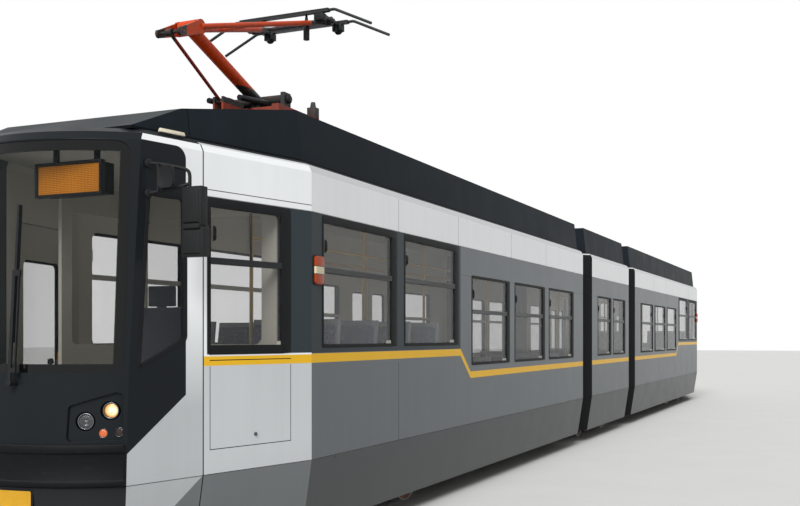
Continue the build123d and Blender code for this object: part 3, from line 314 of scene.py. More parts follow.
SPRAYED = {"Coat_Weight": 0.06, "Coat_Roughness": 0.1}
wall_paint = Finish("body_paint_sides", IOR=1.14, **SPRAYED)
left, rearward, up = wall_paint.place()
face_left, _, face_up = wall_paint.facing()
forward = abs(rearward)
step = ((STEP_START - forward) * (1 / STEP_RUN)).most(0.0).least(1.0)
stripe_up = up + step * STEP_DROP
raised, taper = forward.above(STEP_START), forward.above(TAPER_START)
cab_strip = forward.above(CAB_LINE, 0.004)
belt = stripe_up.above(WAIST) * raised * up.below(BELT_TOP) * (1 - cab_strip)
hatch_run = forward.within(HATCH_REAR, HATCH_FRONT)
hatch = hatch_run * up.within(HATCH_LOW, HATCH_TOP)
hatch = hatch - (forward.within(HATCH_REAR + GAP, HATCH_FRONT - GAP)
                 * up.within(HATCH_LOW + GAP, HATCH_TOP + 0.01))
seams = up.within(SKIRT_LINE - GAP / 2, SKIRT_LINE + GAP / 2)
seams = seams + up.within(CANTRAIL_SEAM, CANTRAIL_SEAM + GAP) * taper
seams = seams + up.within(DOOR_HEAD_SEAM, DOOR_HEAD_SEAM + GAP / 2) * (1 - raised)
seams = seams + hatch + forward.above(NOSE_SEAM)
seams = seams + up.within(SILL_SEAM, SILL_SEAM + 0.007) * hatch_run
body = wall_paint.coated(
    wall_paint.mix(
        up.above(SKIRT_LINE), wall_paint.mix(taper, SHADED_SKIRT_GREY, LIT_CAB_SKIRT),
        wall_paint.mix(taper, SHADED_SILVER, LIT_CAB_SILVER),
    ),
    (belt, BELT_GREY), (up.above(BELT_TOP), WHITE), (cab_strip * up.above(WAIST), WHITE),
    (stripe_up.within(STRIPE_LOW, STRIPE_HIGH), STRIPE_YELLOW),
    (stripe_up.within(1.6, 1.614) * taper, WHITE), (seams.least(1.0), SEAM_AND_SHADOW_BLACK),
)
outward = (face_left * left).above(0.0, 0.01) * abs(face_left).above(0.3)
# The upward-facing top of the straight walls under the fairing is painted a darker white, as
# painted shade.
shoulder_shade = face_up.above(0.25, 0.1) * up.above(3.0) * (1 - taper)
# Wall faces that look neither sideways nor up, the window and door reveals, are painted near black
# as painted shade.
reveal_shade = abs(face_left).below(0.3) * face_up.below(0.3)
# The wall ends beside the bellows are painted near black, as painted shade between the cars.
bellows_end_shade = forward.within(1.5, 2.16) * abs(face_left).below(0.85, 0.02)
body = wall_paint.coated(
    wall_paint.mix(outward, LINING, weathered(wall_paint, body, up)),
    (shoulder_shade, (200, 203, 204)), (reveal_shade, (26, 27, 29)), (bellows_end_shade, (24, 25, 26)),
)
shell_skin(wall_paint, body)
dress(wall_paint, *[f"{car}_{side}_wall" for car in ("front", "middle", "rear")
                    for side in ("left", "right")])

# ---------------------------------------------------------------- Nose
# Glass-fibre moulding bolted to the wall frames at the cab line, sprayed dark round the
# windscreen and light on the cheeks behind the lamps.
MASK_GREY, CHEEK_GREY = (26, 30, 33), (186, 190, 192)
CHEEK_TOP, CHEEK_SLOPE, CHEEK_EDGE, CHEEK_FRONT = 1.34, 1.324, 12.35, 12.9
CORNER_EDGE, CORNER_UP, CORNER_RADIUS = 12.44, 2.955, 0.09
NOSE_FOOT, FOOT_SLOPE = 12.203, -0.85
nose_paint = Finish("mask_paint_nose", IOR=1.16, **SPRAYED)
left, rearward, up = nose_paint.place()
face_left, face_rearward, _ = nose_paint.facing()
forward = abs(rearward)
cheek_edge = ((CHEEK_TOP - up).most(0.0) * CHEEK_SLOPE + CHEEK_EDGE).least(CHEEK_FRONT)
cheek = (forward - cheek_edge).below(0.0, 0.004)
corner_in, corner_up = (CORNER_EDGE - forward).most(0.0), (up - CORNER_UP).most(0.0)
corner = (corner_in * corner_in + corner_up * corner_up).above(CORNER_RADIUS**2, 0.0006)
pale = (cheek + corner).least(1.0) * abs(face_left).above(0.85, 0.04)
skirt_line = (forward - NOSE_FOOT) * FOOT_SLOPE + SKIRT_LINE
# Below the skirt line the cheek takes the lit cab skirt tone, which carries painted light.
cheek_paint = nose_paint.mix((up - skirt_line).above(0.0), LIT_CAB_SKIRT, CHEEK_GREY)
cheek_paint = nose_paint.mix(up.above(1.6, 0.7), cheek_paint, WHITE)
body = weathered(nose_paint, nose_paint.mix(pale, MASK_GREY, cheek_paint), up)
cab_middle = (rearward * 10).least(1.0).most(-1.0) * 11.9
outward = (face_left * left + face_rearward * (rearward - cab_middle)).above(0.0, 0.01)
shell_skin(nose_paint, nose_paint.mix(outward, (58, 60, 62), body))
dress(nose_paint, "front_nose", "rear_nose")

# ---------------------------------------------------------------- Roof and fairing
# The roof skin rolls over the top of the walls. On it sits a dark glass-fibre fairing in
# bolted lengths that hides the roof equipment, with a shadow gap below its edge that is
# painted: the roof top and the fairing's foot are painted near black as painted shadow.
WALL_TOP, FAIRING_FOOT, FAIRING_FRONT, FAIRING_NOSE = 3.108, 3.146, 11.3, 12.205
roof_paint = Finish("roof_paint_skin", IOR=1.25)
_, rearward, up = roof_paint.place()
face_up = roof_paint.facing()[2]
# Above the top of the walls the roof is painted near black, as painted shadow under the fairing's
# edge.
roof = roof_paint.coated(
    (204, 207, 208), (up.above(WALL_TOP), (30, 33, 36)),
    (abs(rearward).above(12.2), (30, 34, 38)), ((0 - face_up).above(0.5, 0.1), LINING),
)
roof_paint.wear(
    Base_Color=roof_paint.lighter(roof, roof_paint.wander(0.92, 0.14, 2.5, 5.0)),
    Roughness=roof_paint.wander(0.38, 0.2, 5.0, 4.0),
)
roof_paint.relief(roof_paint.grain(30.0, 2.0), 0.0006)
dress(roof_paint, "front_roof", "middle_roof", "rear_roof")

FAIRING_GREY = (34, 40, 45)
LENGTH_PITCH, LID_PITCH, LID_SIDE = 1.1075, 0.55, 0.79
fairing_paint = Finish("fairing_paint_lengths", IOR=1.06)
left, rearward, up = fairing_paint.place()
face_up = fairing_paint.facing()[2]
forward = abs(rearward)
lengths = (forward - 0.02).folded(LENGTH_PITCH).below(0.003, 0.002)
lengths = lengths * forward.below(FAIRING_FRONT)
joints = lengths + forward.within(FAIRING_NOSE, FAIRING_NOSE + 0.008) * up.above(3.16)
across = (forward + 0.4).folded(LID_PITCH).above(0.546, 0.003) * abs(left).below(LID_SIDE)
lids = face_up.above(0.6) * (abs(left).within(0.784, LID_SIDE) + across)
# The fairing's foot is painted black on its sides as painted shadow. The length joints and lid
# seams are real dark joints.
foot = (FAIRING_FOOT - up).above(0.0, 0.004) * abs(face_up).below(0.5)
joints_and_shadow_gap = (joints + lids + foot).least(1.0)
dust = face_up.above(0.55, 0.4) * fairing_paint.wander(0.25, 0.5, 1.6, 6.0)
streak = fairing_paint.grain(7.0, 5.0, (1, 1, 0.06)) * 0.22
shade = fairing_paint.lighter(FAIRING_GREY, fairing_paint.wander(1.02, 0.1, 0.9) - streak)
fairing_paint.wear(
    Base_Color=fairing_paint.coated(shade, (dust.least(0.4), (58, 61, 61)), (joints_and_shadow_gap, SEAM_AND_SHADOW_BLACK)),
    Roughness=fairing_paint.wander(0.32, 0.16, 3.0, 4.0),
)
fairing_paint.relief((1 - joints_and_shadow_gap) + fairing_paint.grain(1.3, 1.0) * 0.5, 0.002)
dress(fairing_paint, "front_fairing", "middle_fairing", "rear_fairing")


def only(*pieces):
    """Leaves just these pieces selected, the first of them active."""
    bpy.ops.object.select_all(action="DESELECT")
    for piece in pieces:
        piece.select_set(True)
    bpy.context.view_layer.objects.active = pieces[0]


def begin(kind, name, place=(0, 0, 0), **sizes):
    """Adds the primitive that a piece starts from."""
    bpy.ops.object.select_all(action="DESELECT")
    getattr(bpy.ops.mesh, f"primitive_{kind}_add")(location=place, **sizes)
    piece = bpy.context.object
    piece.name = name
    return piece


def settle(piece, size=None, turn=None, shift=None):
    """Stretches, turns and moves a piece, and puts its place into its mesh."""
    if size:
        piece.scale = size
    if turn:
        piece.rotation_euler = [radians(angle) for angle in turn]
    if shift:
        piece.location = [a + b for a, b in zip(piece.location, shift)]
    only(piece)
    bpy.ops.object.transform_apply(location=True, rotation=True, scale=True)
    return piece


def block(name, low, high):
    """A box to shape further, between two corners."""
    middle = [(a + b) / 2 for a, b in zip(low, high)]
    piece = begin("cube", name, middle, size=1)
    return settle(piece, size=[b - a for a, b in zip(low, high)])


def choose(piece, kind, chosen):
    """Opens a piece in edit mode with only the chosen vertices, edges or faces selected."""
    only(piece)
    bpy.ops.object.mode_set(mode="EDIT")
    bpy.ops.mesh.select_mode(type=kind)
    bpy.ops.mesh.select_all(action="DESELECT")
    bpy.ops.object.mode_set(mode="OBJECT")
    mesh = piece.data
    if kind == "VERT":
        for point in mesh.vertices:
            point.select = chosen(point.co)
    elif kind == "EDGE":
        for line in mesh.edges:
            ends = [mesh.vertices[index].co for index in line.vertices]
            line.select = chosen((ends[0] + ends[1]) / 2, (ends[1] - ends[0]).normalized())
    else:
        for face in mesh.polygons:
            face.select = chosen(face.center, face.normal)
    bpy.ops.object.mode_set(mode="EDIT")


def close_edit():
    bpy.ops.object.mode_set(mode="OBJECT")


def towards(way):
    """Picks the faces or edges that run one way, such as "+z", or both ways of "z"."""
    axis = "xyz".index(way[-1])
    if way[0] == "-":
        return lambda at, run: run[axis] < -0.9
    return lambda at, run: (run[axis] if way[0] == "+" else abs(run[axis])) > 0.9


def extrude(shift, spread=None):
    """Extrudes what is selected, and scales its end."""
    bpy.ops.mesh.extrude_region_move(TRANSFORM_OT_translate={"value": shift})
    if spread:
        bpy.ops.transform.resize(value=spread)


def drawn_out(piece, way, rim, *ends):
    """Insets the faces that look one way, and extrudes them end by end."""
    choose(piece, "FACE", towards(way))
    if rim:
        bpy.ops.mesh.inset(thickness=rim)
    for end in ends:
        extrude(*end)
    close_edit()
    return piece


def work(piece, kind, **settings):
    """Adds a modifier and applies it."""
    only(piece)
    modifier = piece.modifiers.new(kind.lower(), kind)
    for setting, value in settings.items():
        setattr(modifier, setting, value)
    bpy.ops.object.modifier_apply(modifier=modifier.name)
    return piece


def smooth(piece, angle=40):
    only(piece)
    bpy.ops.object.shade_smooth_by_angle(angle=radians(angle))
    return piece


def soften(piece, width, segments=2, angle=30):
    """Rounds a piece's edges."""
    work(piece, "BEVEL", width=width, segments=segments, angle_limit=radians(angle),
         limit_method="ANGLE", harden_normals=False)
    return smooth(piece)


def copied(piece, name, shift=(0, 0, 0), flip=(1, 1, 1), turn=0.0):
    """A copy with its own mesh, mirrored by flip, turned about the upright axis and moved."""
    twin = piece.copy()
    twin.data = piece.data.copy()
    twin.name = name
    bpy.context.scene.collection.objects.link(twin)
    turned = Matrix.Rotation(turn, 4, "Z") @ Matrix.Diagonal((*flip, 1))
    twin.data.transform(Matrix.Translation(shift) @ turned)
    if flip[0] * flip[1] * flip[2] < 0:
        twin.data.flip_normals()
    return twin


def joined(name, pieces):
    only(*pieces)
    bpy.ops.object.join()
    pieces[0].name = name
    return pieces[0]


def cleared(*pieces):
    """Takes away the patterns that copies were made from."""
    only(*pieces)
    bpy.ops.object.delete()


def painted(piece, finish):
    piece.data.materials.clear()
    piece.data.materials.append(finish.material)
    return piece


def fit(piece, body):
    """Fixes a finished piece to a body of the tram."""
    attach(piece, body)
    return piece


# Lids over the roof equipment, pressed panels with a raised field
LID_HALF, LID_LENGTH, LID_FOOT = 0.72, 1.0, 3.536
lid_pattern = block("roof_lid", (-LID_HALF, -LID_LENGTH / 2, LID_FOOT),
                    (LID_HALF, LID_LENGTH / 2, LID_FOOT + 0.012))
drawn_out(lid_pattern, "+z", 0.06, ((0, 0, 0.016), (0.985, 0.98, 1)))
soften(lid_pattern, 0.006)
lid_paint = Finish("fairing_lid_paint", IOR=1.1)
lid_paint.wear(
    Base_Color=lid_paint.mix(
        lid_paint.wander(0.3, 0.5, 1.8, 6.0).least(0.6), FAIRING_GREY, (92, 92, 88)
    ),
    Roughness=lid_paint.wander(0.4, 0.2, 4.0, 4.0),
)
lid_paint.relief(lid_paint.grain(2.0, 2.0), 0.002)
painted(lid_pattern, lid_paint)
for body, places in (
    ("front_car", (-3.0, -4.3, -5.6, -6.9, -8.2)),
    ("middle_car", (-0.75, 0.75)),
    ("rear_car", (3.0, 4.3, 5.6, 6.9, 8.2, 9.5, 10.6)),
):
    lids = [copied(lid_pattern, f"{body}_lid", (0, y, 0)) for y in places]
    fit(joined(f"{body}_roof_lids", lids), body)
cleared(lid_pattern)

# ---------------------------------------------------------------- Window glass
# Toughened tinted panes, set flush in the walls. The windscreen and quarter windows are
# clearer, and the windscreen has a black printed edge.
side_glass = Finish("window_glass_sides", IOR=2.1)
# Broad lighter and darker patches on the side panes, partly dust and partly painted reflection of
# the surroundings.
dust_and_reflection_patches = side_glass.grain(1.3, 5.0, (1, 1, 0.3))
side_glass.wear(
    Base_Color=side_glass.mix(dust_and_reflection_patches, (52, 56, 56), (92, 95, 94)),
    Roughness=side_glass.wander(0.02, 0.04, 4.0),
    Alpha=(side_glass.rim() * 0.55 + 0.07).least(1.0),
)
screen_glass = Finish("window_glass_screen", IOR=1.32)
PRINT_SIDE, PRINT_TOP, PRINT_FOOT, PANE_SIDE = 0.708, 2.96, 1.56, 0.775
left, _, up = screen_glass.place()
print_edge = abs(left).above(PRINT_SIDE, 0.004) + up.above(PRINT_TOP, 0.004)
print_edge = (print_edge + (PRINT_FOOT - up).above(0.0, 0.004)).least(1.0)
print_edge = print_edge * abs(left).below(PANE_SIDE)
bare = screen_glass.mix(screen_glass.grain(2.0, 4.0), (20, 24, 25), (38, 43, 44))
screen_glass.wear(
    Base_Color=screen_glass.mix(print_edge, bare, (12, 13, 14)),
    Roughness=screen_glass.wander(0.02, 0.04, 4.0),
    Alpha=(screen_glass.rim() * 0.45 + 0.13 + print_edge).least(1.0),
)
dress(side_glass, "front_windows", "middle_windows", "rear_windows")
dress(screen_glass, "front_screen", "rear_screen")

# ---------------------------------------------------------------- Window rubbers and hoppers
# A black rubber section clamps each pane, a dark aluminium bar divides it, and the part over
# the bar is a hopper that tips in on a small handle. The cab window slides on an upright rail.
ENDS = (("front", -1), ("rear", 1))
HALF_WIDTH = 1.2
TAPER = radians(13.41)
RUBBER_COVER, RUBBER_LIP = 0.03, 0.008
LOW_MIDDLE, HIGH_MIDDLE = 1.9255, 2.168
rubber = mottled(
    "window_rubber_section", (8.0, 5.0), (20, 21, 22), (30, 31, 33), (0.5, 0.2, 20.0),
    (260.0, 2.0, 0.0003), IOR=1.2,
)
bar_metal = mottled(
    "transom_bar_metal", (10.0, 4.0), (22, 24, 26), (34, 37, 39),
    (0.3, 0.15, 40.0, 2.0, (1, 0.1, 1)), (90.0, 2.0, (1, 0.05, 1), 0.0002), IOR=1.3,
)


def anywhere(*place):
    return True


def moved(piece, chosen, shift):
    """Moves the chosen points of a piece."""
    choose(piece, "VERT", chosen)
    bpy.ops.transform.translate(value=shift)
    close_edit()


def narrowed(piece, way, spread):
    """Scales the face that looks one way."""
    choose(piece, "FACE", towards(way))
    bpy.ops.transform.resize(value=spread)
    close_edit()
    return piece


def sunken(piece, way, rim, shift):
    """Moves the field inside a rim on the face that looks one way."""
    choose(piece, "FACE", towards(way))
    bpy.ops.mesh.inset(thickness=rim)
    bpy.ops.transform.translate(value=shift)
    close_edit()
    return piece


def clipped(sheet, radius, segments=5, chosen=anywhere):
    """Rounds the corners of a flat sheet."""
    choose(sheet, "VERT", chosen)
    bpy.ops.mesh.bevel(offset=radius, segments=segments, affect="VERTICES")
    close_edit()


def hollowed(sheet, radius, cover):
    """Leaves only a ring along the rounded edge of a sheet."""
    clipped(sheet, radius)
    choose(sheet, "FACE", anywhere)
    bpy.ops.mesh.inset(thickness=cover)
    bpy.ops.mesh.delete(type="FACE")
    close_edit()


def moulded(ring):
    """Gives a flat ring the thickness and finish of the rubber section."""
    work(ring, "SOLIDIFY", thickness=0.0105, offset=-0.52)
    return painted(soften(ring, 0.0018), rubber)


def pane_rubber(width, height, radius=0.014, cover=RUBBER_COVER, rear=0.0, low=0.0, top=0.0):
    """Ring over the edge of a pane, drawn upright at the origin and facing left. It can be
    wider at the rear, below and on top."""
    ring = begin("plane", "pane_rubber", size=1)
    settle(ring, size=(height + 2 * RUBBER_LIP, width + 2 * RUBBER_LIP, 1))
    settle(ring, turn=(0, 90, 0))
    hollowed(ring, radius + RUBBER_LIP, cover)
    inside = RUBBER_LIP - cover / 2
    moved(ring, lambda at: at.y > width / 2 + inside, (0, rear, 0))
    moved(ring, lambda at: at.z < -height / 2 - inside, (0, 0, -low))
    moved(ring, lambda at: at.z > height / 2 + inside, (0, 0, top))
    return moulded(ring)


def divided_window(width, height, rear=0.09, low=0.0, top=0.0):
    """Rubber ring with its dividing bar and the hopper's handle."""
    ring = pane_rubber(width, height, rear=rear, low=low, top=top)
    bar_up, bar_end, handle_at = height / 2 - 0.4, width / 2 - 0.02, 0.05 - width / 2
    bar = block("transom", (-0.0075, -bar_end, bar_up - 0.0235),
                (0.0028, bar_end, bar_up + 0.0235))
    soften(sunken(bar, "+x", 0.012, (-0.002, 0, 0)), 0.0015)
    handle = block("hopper_handle", (-0.007, handle_at, bar_up + 0.14),
                   (0.011, handle_at + 0.022, bar_up + 0.25))
    soften(narrowed(handle, "+x", (1, 0.7, 0.62)), 0.003)
    parts = [ring, painted(bar, bar_metal), painted(handle, rubber)]
    return joined("divided_window", parts)


def taper_spot(side, along, run, up, inward=0.0, proud=0.0):
    """Point on the drawn-in side of a cab, a run past where it starts."""
    out = HALF_WIDTH - inward * cos(TAPER) - run * sin(TAPER) + proud
    return side * out, along * (TAPER_START - inward * sin(TAPER) + run * cos(TAPER)), up


patterns = {
    "high_front": divided_window(1.38, 1.022, top=0.036),
    "high_rear": divided_window(1.375, 1.022, top=0.036),
    "low": divided_window(1.3, 0.997),
    "middle": divided_window(0.97, 0.997),
}
# Kind of window, how far its middle is ahead of the tram's middle, and its height
SIDE_WINDOWS = (
    ("high_front", 10.23, HIGH_MIDDLE), ("high_rear", 8.5775, HIGH_MIDDLE),
    ("low", 6.72, LOW_MIDDLE), ("low", 5.11, LOW_MIDDLE), ("low", 3.5, LOW_MIDDLE),
)
DOORWAY = 5.11
cab_pattern = divided_window(0.76, 1.022, rear=0.075, low=0.038, top=0.036)
rail = block("sliding_rail", (-0.007, 0.03, 0.13), (0.0028, 0.052, 0.485))
painted(soften(narrowed(rail, "+x", (1, 0.6, 1)), 0.002), bar_metal)
cab_pattern = joined("cab_window", [cab_pattern, rail])
for end, along in ENDS:
    rings = []
    for side in (1, -1):
        for kind, ahead, middle in SIDE_WINDOWS:
            if side > 0 or ahead != DOORWAY:
                place = (side * HALF_WIDTH, along * ahead, middle)
                rings.append(copied(patterns[kind], "ring", place, (side, -along, 1)))
    place = taper_spot(1, along, 0.701, HIGH_MIDDLE)
    rings.append(copied(cab_pattern, "ring", place, (1, -along, 1), along * TAPER))
    fit(joined(f"{end}_car_window_rubbers", rings), f"{end}_car")
rings = [
    copied(patterns["middle"], "ring", (side * HALF_WIDTH, y, LOW_MIDDLE), (side, 1, 1))
    for side in (1, -1) for y in (-0.615, 0.615)
]
fit(joined("middle_car_window_rubbers", rings), "middle_car")
cleared(cab_pattern, *patterns.values())

# ---------------------------------------------------------------- Quarter windows
# Fixed panes beside the windscreen, cut slanted along the sill. The same black rubber
# section as round the side windows clamps them in the nose moulding.
quarter = begin("plane", "quarter_rubber", size=1)
settle(quarter, size=(1.0, 0.335, 1))
settle(quarter, turn=(0, 90, 0))
for low, front, move in (
    (True, True, (0, -0.089, 0.012)), (True, False, (0, 0.006, 0.207)),
    (False, True, (0, -0.006, 0.206)), (False, False, (0, 0.006, 0.206)),
):
    moved(quarter, lambda at: (at.z < 0) == low and (at.y < 0) == front, move)
hollowed(quarter, 0.04, RUBBER_COVER)
moulded(quarter)
for end, along in ENDS:
    rings = [
        copied(quarter, "ring", taper_spot(side, along, 1.4485, 2.0), (side, -along, 1),
               side * along * TAPER)
        for side in (1, -1)
    ]
    fit(joined(f"{end}_car_quarter_rubbers", rings), f"{end}_car")
cleared(quarter)

# ---------------------------------------------------------------- Bumper and bare plate
# Moulded rubber band across the nose, with a ledge on top and a lip at its foot. Below it a
# bare pressed plate sits in a thin black holder.
bumper_rubber = Finish("bumper_rubber_band", IOR=1.2)
face_up = bumper_rubber.facing()[2]
dust = face_up.above(0.5, 0.4) * bumper_rubber.wander(0.3, 0.5, 6.0, 5.0)
scuffs = bumper_rubber.grain(14.0, 6.0, (1, 1, 3)).above(0.62, 0.05) * 0.3
bumper_rubber.wear(
    Base_Color=bumper_rubber.coated(
        (13, 15, 17), (scuffs, (26, 29, 30)), (dust.least(0.7), (46, 48, 49))
    ),
    Roughness=bumper_rubber.wander(0.45, 0.2, 10.0, 4.0),
)
bumper_rubber.relief(bumper_rubber.grain(320.0, 2.0), 0.0004)


def cut(piece, point, outward, fill=False):
    """Cuts off what lies outside a plane."""
    choose(piece, "VERT", anywhere)
    bpy.ops.mesh.bisect(plane_co=point, plane_no=outward, clear_outer=True, use_fill=fill)
    close_edit()


for end, along in ENDS:
    band = copied(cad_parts[f"{end}_bumper"], f"{end}_bumper_band")
    choose(band, "VERT", anywhere)
    bpy.ops.mesh.remove_doubles(threshold=0.0001)
    close_edit()
    for side in (1, -1):
        cut(band, (side * 0.786, along * 12.86, 0.9), (side * 0.94, -along * 0.34, 0), True)
    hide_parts(f"{end}_bumper")
    painted(soften(band, 0.004, 2, 40), bumper_rubber)
    fit(band, f"{end}_car")

plate_yellow = Finish("bare_plate_yellow", IOR=1.3)
grime = plate_yellow.grain(18.0, 6.0) * 0.5
plate_yellow.wear(
    Base_Color=plate_yellow.mix(grime.least(0.6), (206, 156, 38), (140, 102, 34)),
    Roughness=plate_yellow.wander(0.3, 0.15, 30.0),
)
plate_yellow.relief(plate_yellow.grain(60.0, 2.0), 0.0005)
NOSE_RADIUS = 1.1229
PLATE_MIDDLE = 0.686


def flat_plate(name, half, height, thickness, front, rim, sink, finish):
    """Pressed plate with rounded corners and a sunk field, bent to follow the nose."""
    plate = begin("grid", name, x_subdivisions=16, y_subdivisions=1, size=2)
    settle(plate, size=(half, height / 2, 1), turn=(90, 0, 0))
    clipped(plate, 0.012, 3, lambda at: abs(at.x) > half - 0.001)
    work(plate, "SOLIDIFY", thickness=thickness, offset=-1)
    soften(sunken(plate, "-y", rim, (0, sink, 0)), 0.0008)
    work(plate, "SIMPLE_DEFORM", deform_method="BEND", deform_axis="Z",
         angle=2 * half / NOSE_RADIUS)
    return painted(settle(plate, shift=(0, front, PLATE_MIDDLE)), finish)


holder = flat_plate("plate_holder", 0.272, 0.136, 0.01, -13.1605, 0.008, 0.003, rubber)
plate = flat_plate("bare_plate", 0.258, 0.11, 0.004, -13.1618, 0.006, 0.0012, plate_yellow)
front_plate = joined("front_plate", [holder, plate])
rear_plate = copied(front_plate, "rear_plate", flip=(1, -1, 1))
fit(front_plate, "front_car")
fit(rear_plate, "rear_car")

# ---------------------------------------------------------------- Lamps
# Round headlamps and small signal lamps in a sunk bay: chromed bezel, bright bowl, bulb and
# clear or coloured lens. On the side walls a three-part marker lens stands on a black base.
LAMP_YAW = radians(22)
MAIN_LAMP = (0.700, 1.258)
MARKER_UP = 2.27
chrome = mottled(
    "lamp_chrome", (12.0,), (96, 98, 99), (134, 136, 138), (0.12, 0.1, 30.0), Metallic=0.9
)
lamp_black = mottled(
    "lamp_bay_black", (20.0, 4.0), (20, 21, 22), (34, 36, 38), (0.4, 0.2, 40.0), IOR=1.25
)


def lens_finish(name, clear, shade, glow, see):
    """Ribbed lens plastic with an even glow."""
    lens = Finish(name, Emission_Strength=glow, IOR=1.35)
    left, _, up = lens.place()
    ribs = (left * 90.0).folded(0.5) + (up * 90.0).folded(0.5)
    colour = lens.mix(ribs * 0.6, clear, shade)
    lens.wear(
        Base_Color=colour, Emission_Color=colour, Roughness=lens.wander(0.06, 0.08, 50.0),
        Alpha=lens.wander(see, 0.1, 5.0),
    )
    return lens.relief(ribs, 0.0012)


lens_lit = Finish("lens_lit_warm", Emission_Strength=0.62, IOR=1.3)
left, _, up = lens_lit.place()
glow = (abs(left) - MAIN_LAMP[0]).reach(up - MAIN_LAMP[1])
warm = lens_lit.mix(glow.above(0.022, 0.03), (255, 240, 204), (206, 150, 84))
warm = lens_lit.mix(glow.above(0.044, 0.012), warm, (96, 66, 40))
lens_lit.wear(Base_Color=warm, Emission_Color=warm, Roughness=lens_lit.wander(0.06, 0.08, 50.0))
lens_clear = lens_finish("lens_clear", (92, 95, 96), (52, 55, 57), 0.0, 0.5)
lens_orange = lens_finish("lens_orange", (190, 92, 40), (140, 54, 24), 0.05, 0.9)
lens_glowing = lens_finish("lens_orange_lit", (216, 112, 66), (150, 62, 36), 0.12, 0.95)
lens_smoke = lens_finish("lens_smoked", (58, 44, 44), (38, 31, 31), 0.0, 0.9)
lens_red = lens_finish("lens_red", (188, 34, 28), (120, 16, 16), 0.08, 0.9)
lens_white = lens_finish("lens_white", (236, 232, 220), (206, 202, 190), 0.1, 0.95)


def round_lamp(radius, lens):
    """One lamp at the origin, looking towards the front."""
    body = begin("cylinder", "lamp", vertices=40, radius=radius, depth=0.046)
    settle(body, turn=(90, 0, 0), shift=(0, 0.023, 0))
    drawn_out(body, "-y", radius * 0.1, ((0, 0.006, 0), (0.97, 1, 0.97)),
              ((0, 0.018, 0), (0.72, 1, 0.72)), ((0, 0.008, 0), (0.45, 1, 0.45)))
    painted(soften(body, radius * 0.02), chrome)
    cover = begin("uv_sphere", "lens", segments=32, ring_count=16, radius=radius * 0.9)
    settle(cover, turn=(90, 0, 0))
    cut(cover, (0, -radius * 0.2, 0), (0, 1, 0))
    settle(cover, size=(1.0, 0.22, 1.0), shift=(0, 0.006, 0))
    choose(cover, "EDGE", lambda at, run: at.y > -0.004)
    extrude((0, 0.004, 0))
    close_edit()
    painted(smooth(cover, 60), lens)
    bulb = begin("uv_sphere", "bulb", segments=16, ring_count=8, radius=radius * 0.2)
    settle(bulb, size=(1, 1.3, 1), shift=(0, 0.02, 0))
    painted(smooth(bulb, 60), lens_white)
    return joined("lamp", [body, cover, bulb])


def lamp_spot(side, along, left, up, inset=0.024):
    """Point behind the nose's surface, along the lamp's own direction."""
    lean = 0.02 * (up - SKIRT_LINE) / 0.735
    fall_back = NOSE_RADIUS - sqrt(NOSE_RADIUS**2 - left * left)
    yaw = LAMP_YAW * side
    ahead = 13.16 - lean - fall_back - cos(yaw) * inset
    return side * left - sin(yaw) * inset, along * ahead, up


def rounded(piece, way, radius, segments):
    """Rounds the edges that run one way."""
    choose(piece, "EDGE", towards(way))
    bpy.ops.mesh.bevel(offset=radius, segments=segments)
    close_edit()
    return piece


marker_finish = Finish("marker_lens_three_part", IOR=1.3)
_, rearward, up = marker_finish.place()
lines = (rearward * 80.0).folded(0.5)
off_middle = abs(up - MARKER_UP)
colour = marker_finish.mix(off_middle.above(0.03, 0.002), (206, 194, 164), (156, 58, 12))
colour = marker_finish.mix(abs(off_middle - 0.031).above(0.003, 0.001), (40, 30, 24), colour)
colour = marker_finish.lighter(colour, lines * 0.4 + 0.85)
marker_finish.wear(
    Base_Color=colour, Emission_Color=colour, Roughness=marker_finish.wander(0.12, 0.1, 40.0)
)
marker_finish.relief(lines, 0.001)
marker_base = block("marker_base", (1.2004, -0.078, -0.122), (1.206, 0.078, 0.122))
marker_lens = block("marker_lens", (1.205, -0.07, -0.112), (1.2255, 0.07, 0.112))
soften(rounded(marker_base, "x", 0.03, 8), 0.001)
soften(rounded(marker_lens, "x", 0.026, 8), 0.005, 3)
marker = joined("marker", [painted(marker_base, lamp_black), painted(marker_lens, marker_finish)])
# Distance from the middle, height and radius of each lamp, and the lenses on each side
LAMPS = ((*MAIN_LAMP, 0.053), (0.572, 1.190, 0.053), (0.664, 1.112, 0.030), (0.742, 1.118, 0.030))
FRONT_LENSES = {1: (lens_lit, lens_clear, lens_glowing, lens_smoke),
                -1: (lens_lit, lens_clear, lens_orange, lens_smoke)}
REAR_LENSES = (lens_red, lens_red, lens_orange, lens_white)
for end, along in ENDS:
    lamps = []
    for side in (1, -1):
        lenses = FRONT_LENSES[side] if along < 0 else REAR_LENSES
        for (out, height, radius), lens in zip(LAMPS, lenses):
            lamp = round_lamp(radius, lens)
            lamps.append(copied(lamp, "lamp", lamp_spot(side, along, out, height),
                                (1, -along, 1), LAMP_YAW * side * -along))
            cleared(lamp)
        lamps.append(copied(marker, "marker", (0, along * 11.0, MARKER_UP), (side, 1, 1)))
    lamps = joined(f"{end}_car_lamp_set", lamps)
    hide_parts(f"{end}_lamps")
    fit(lamps, f"{end}_car")
cleared(marker)

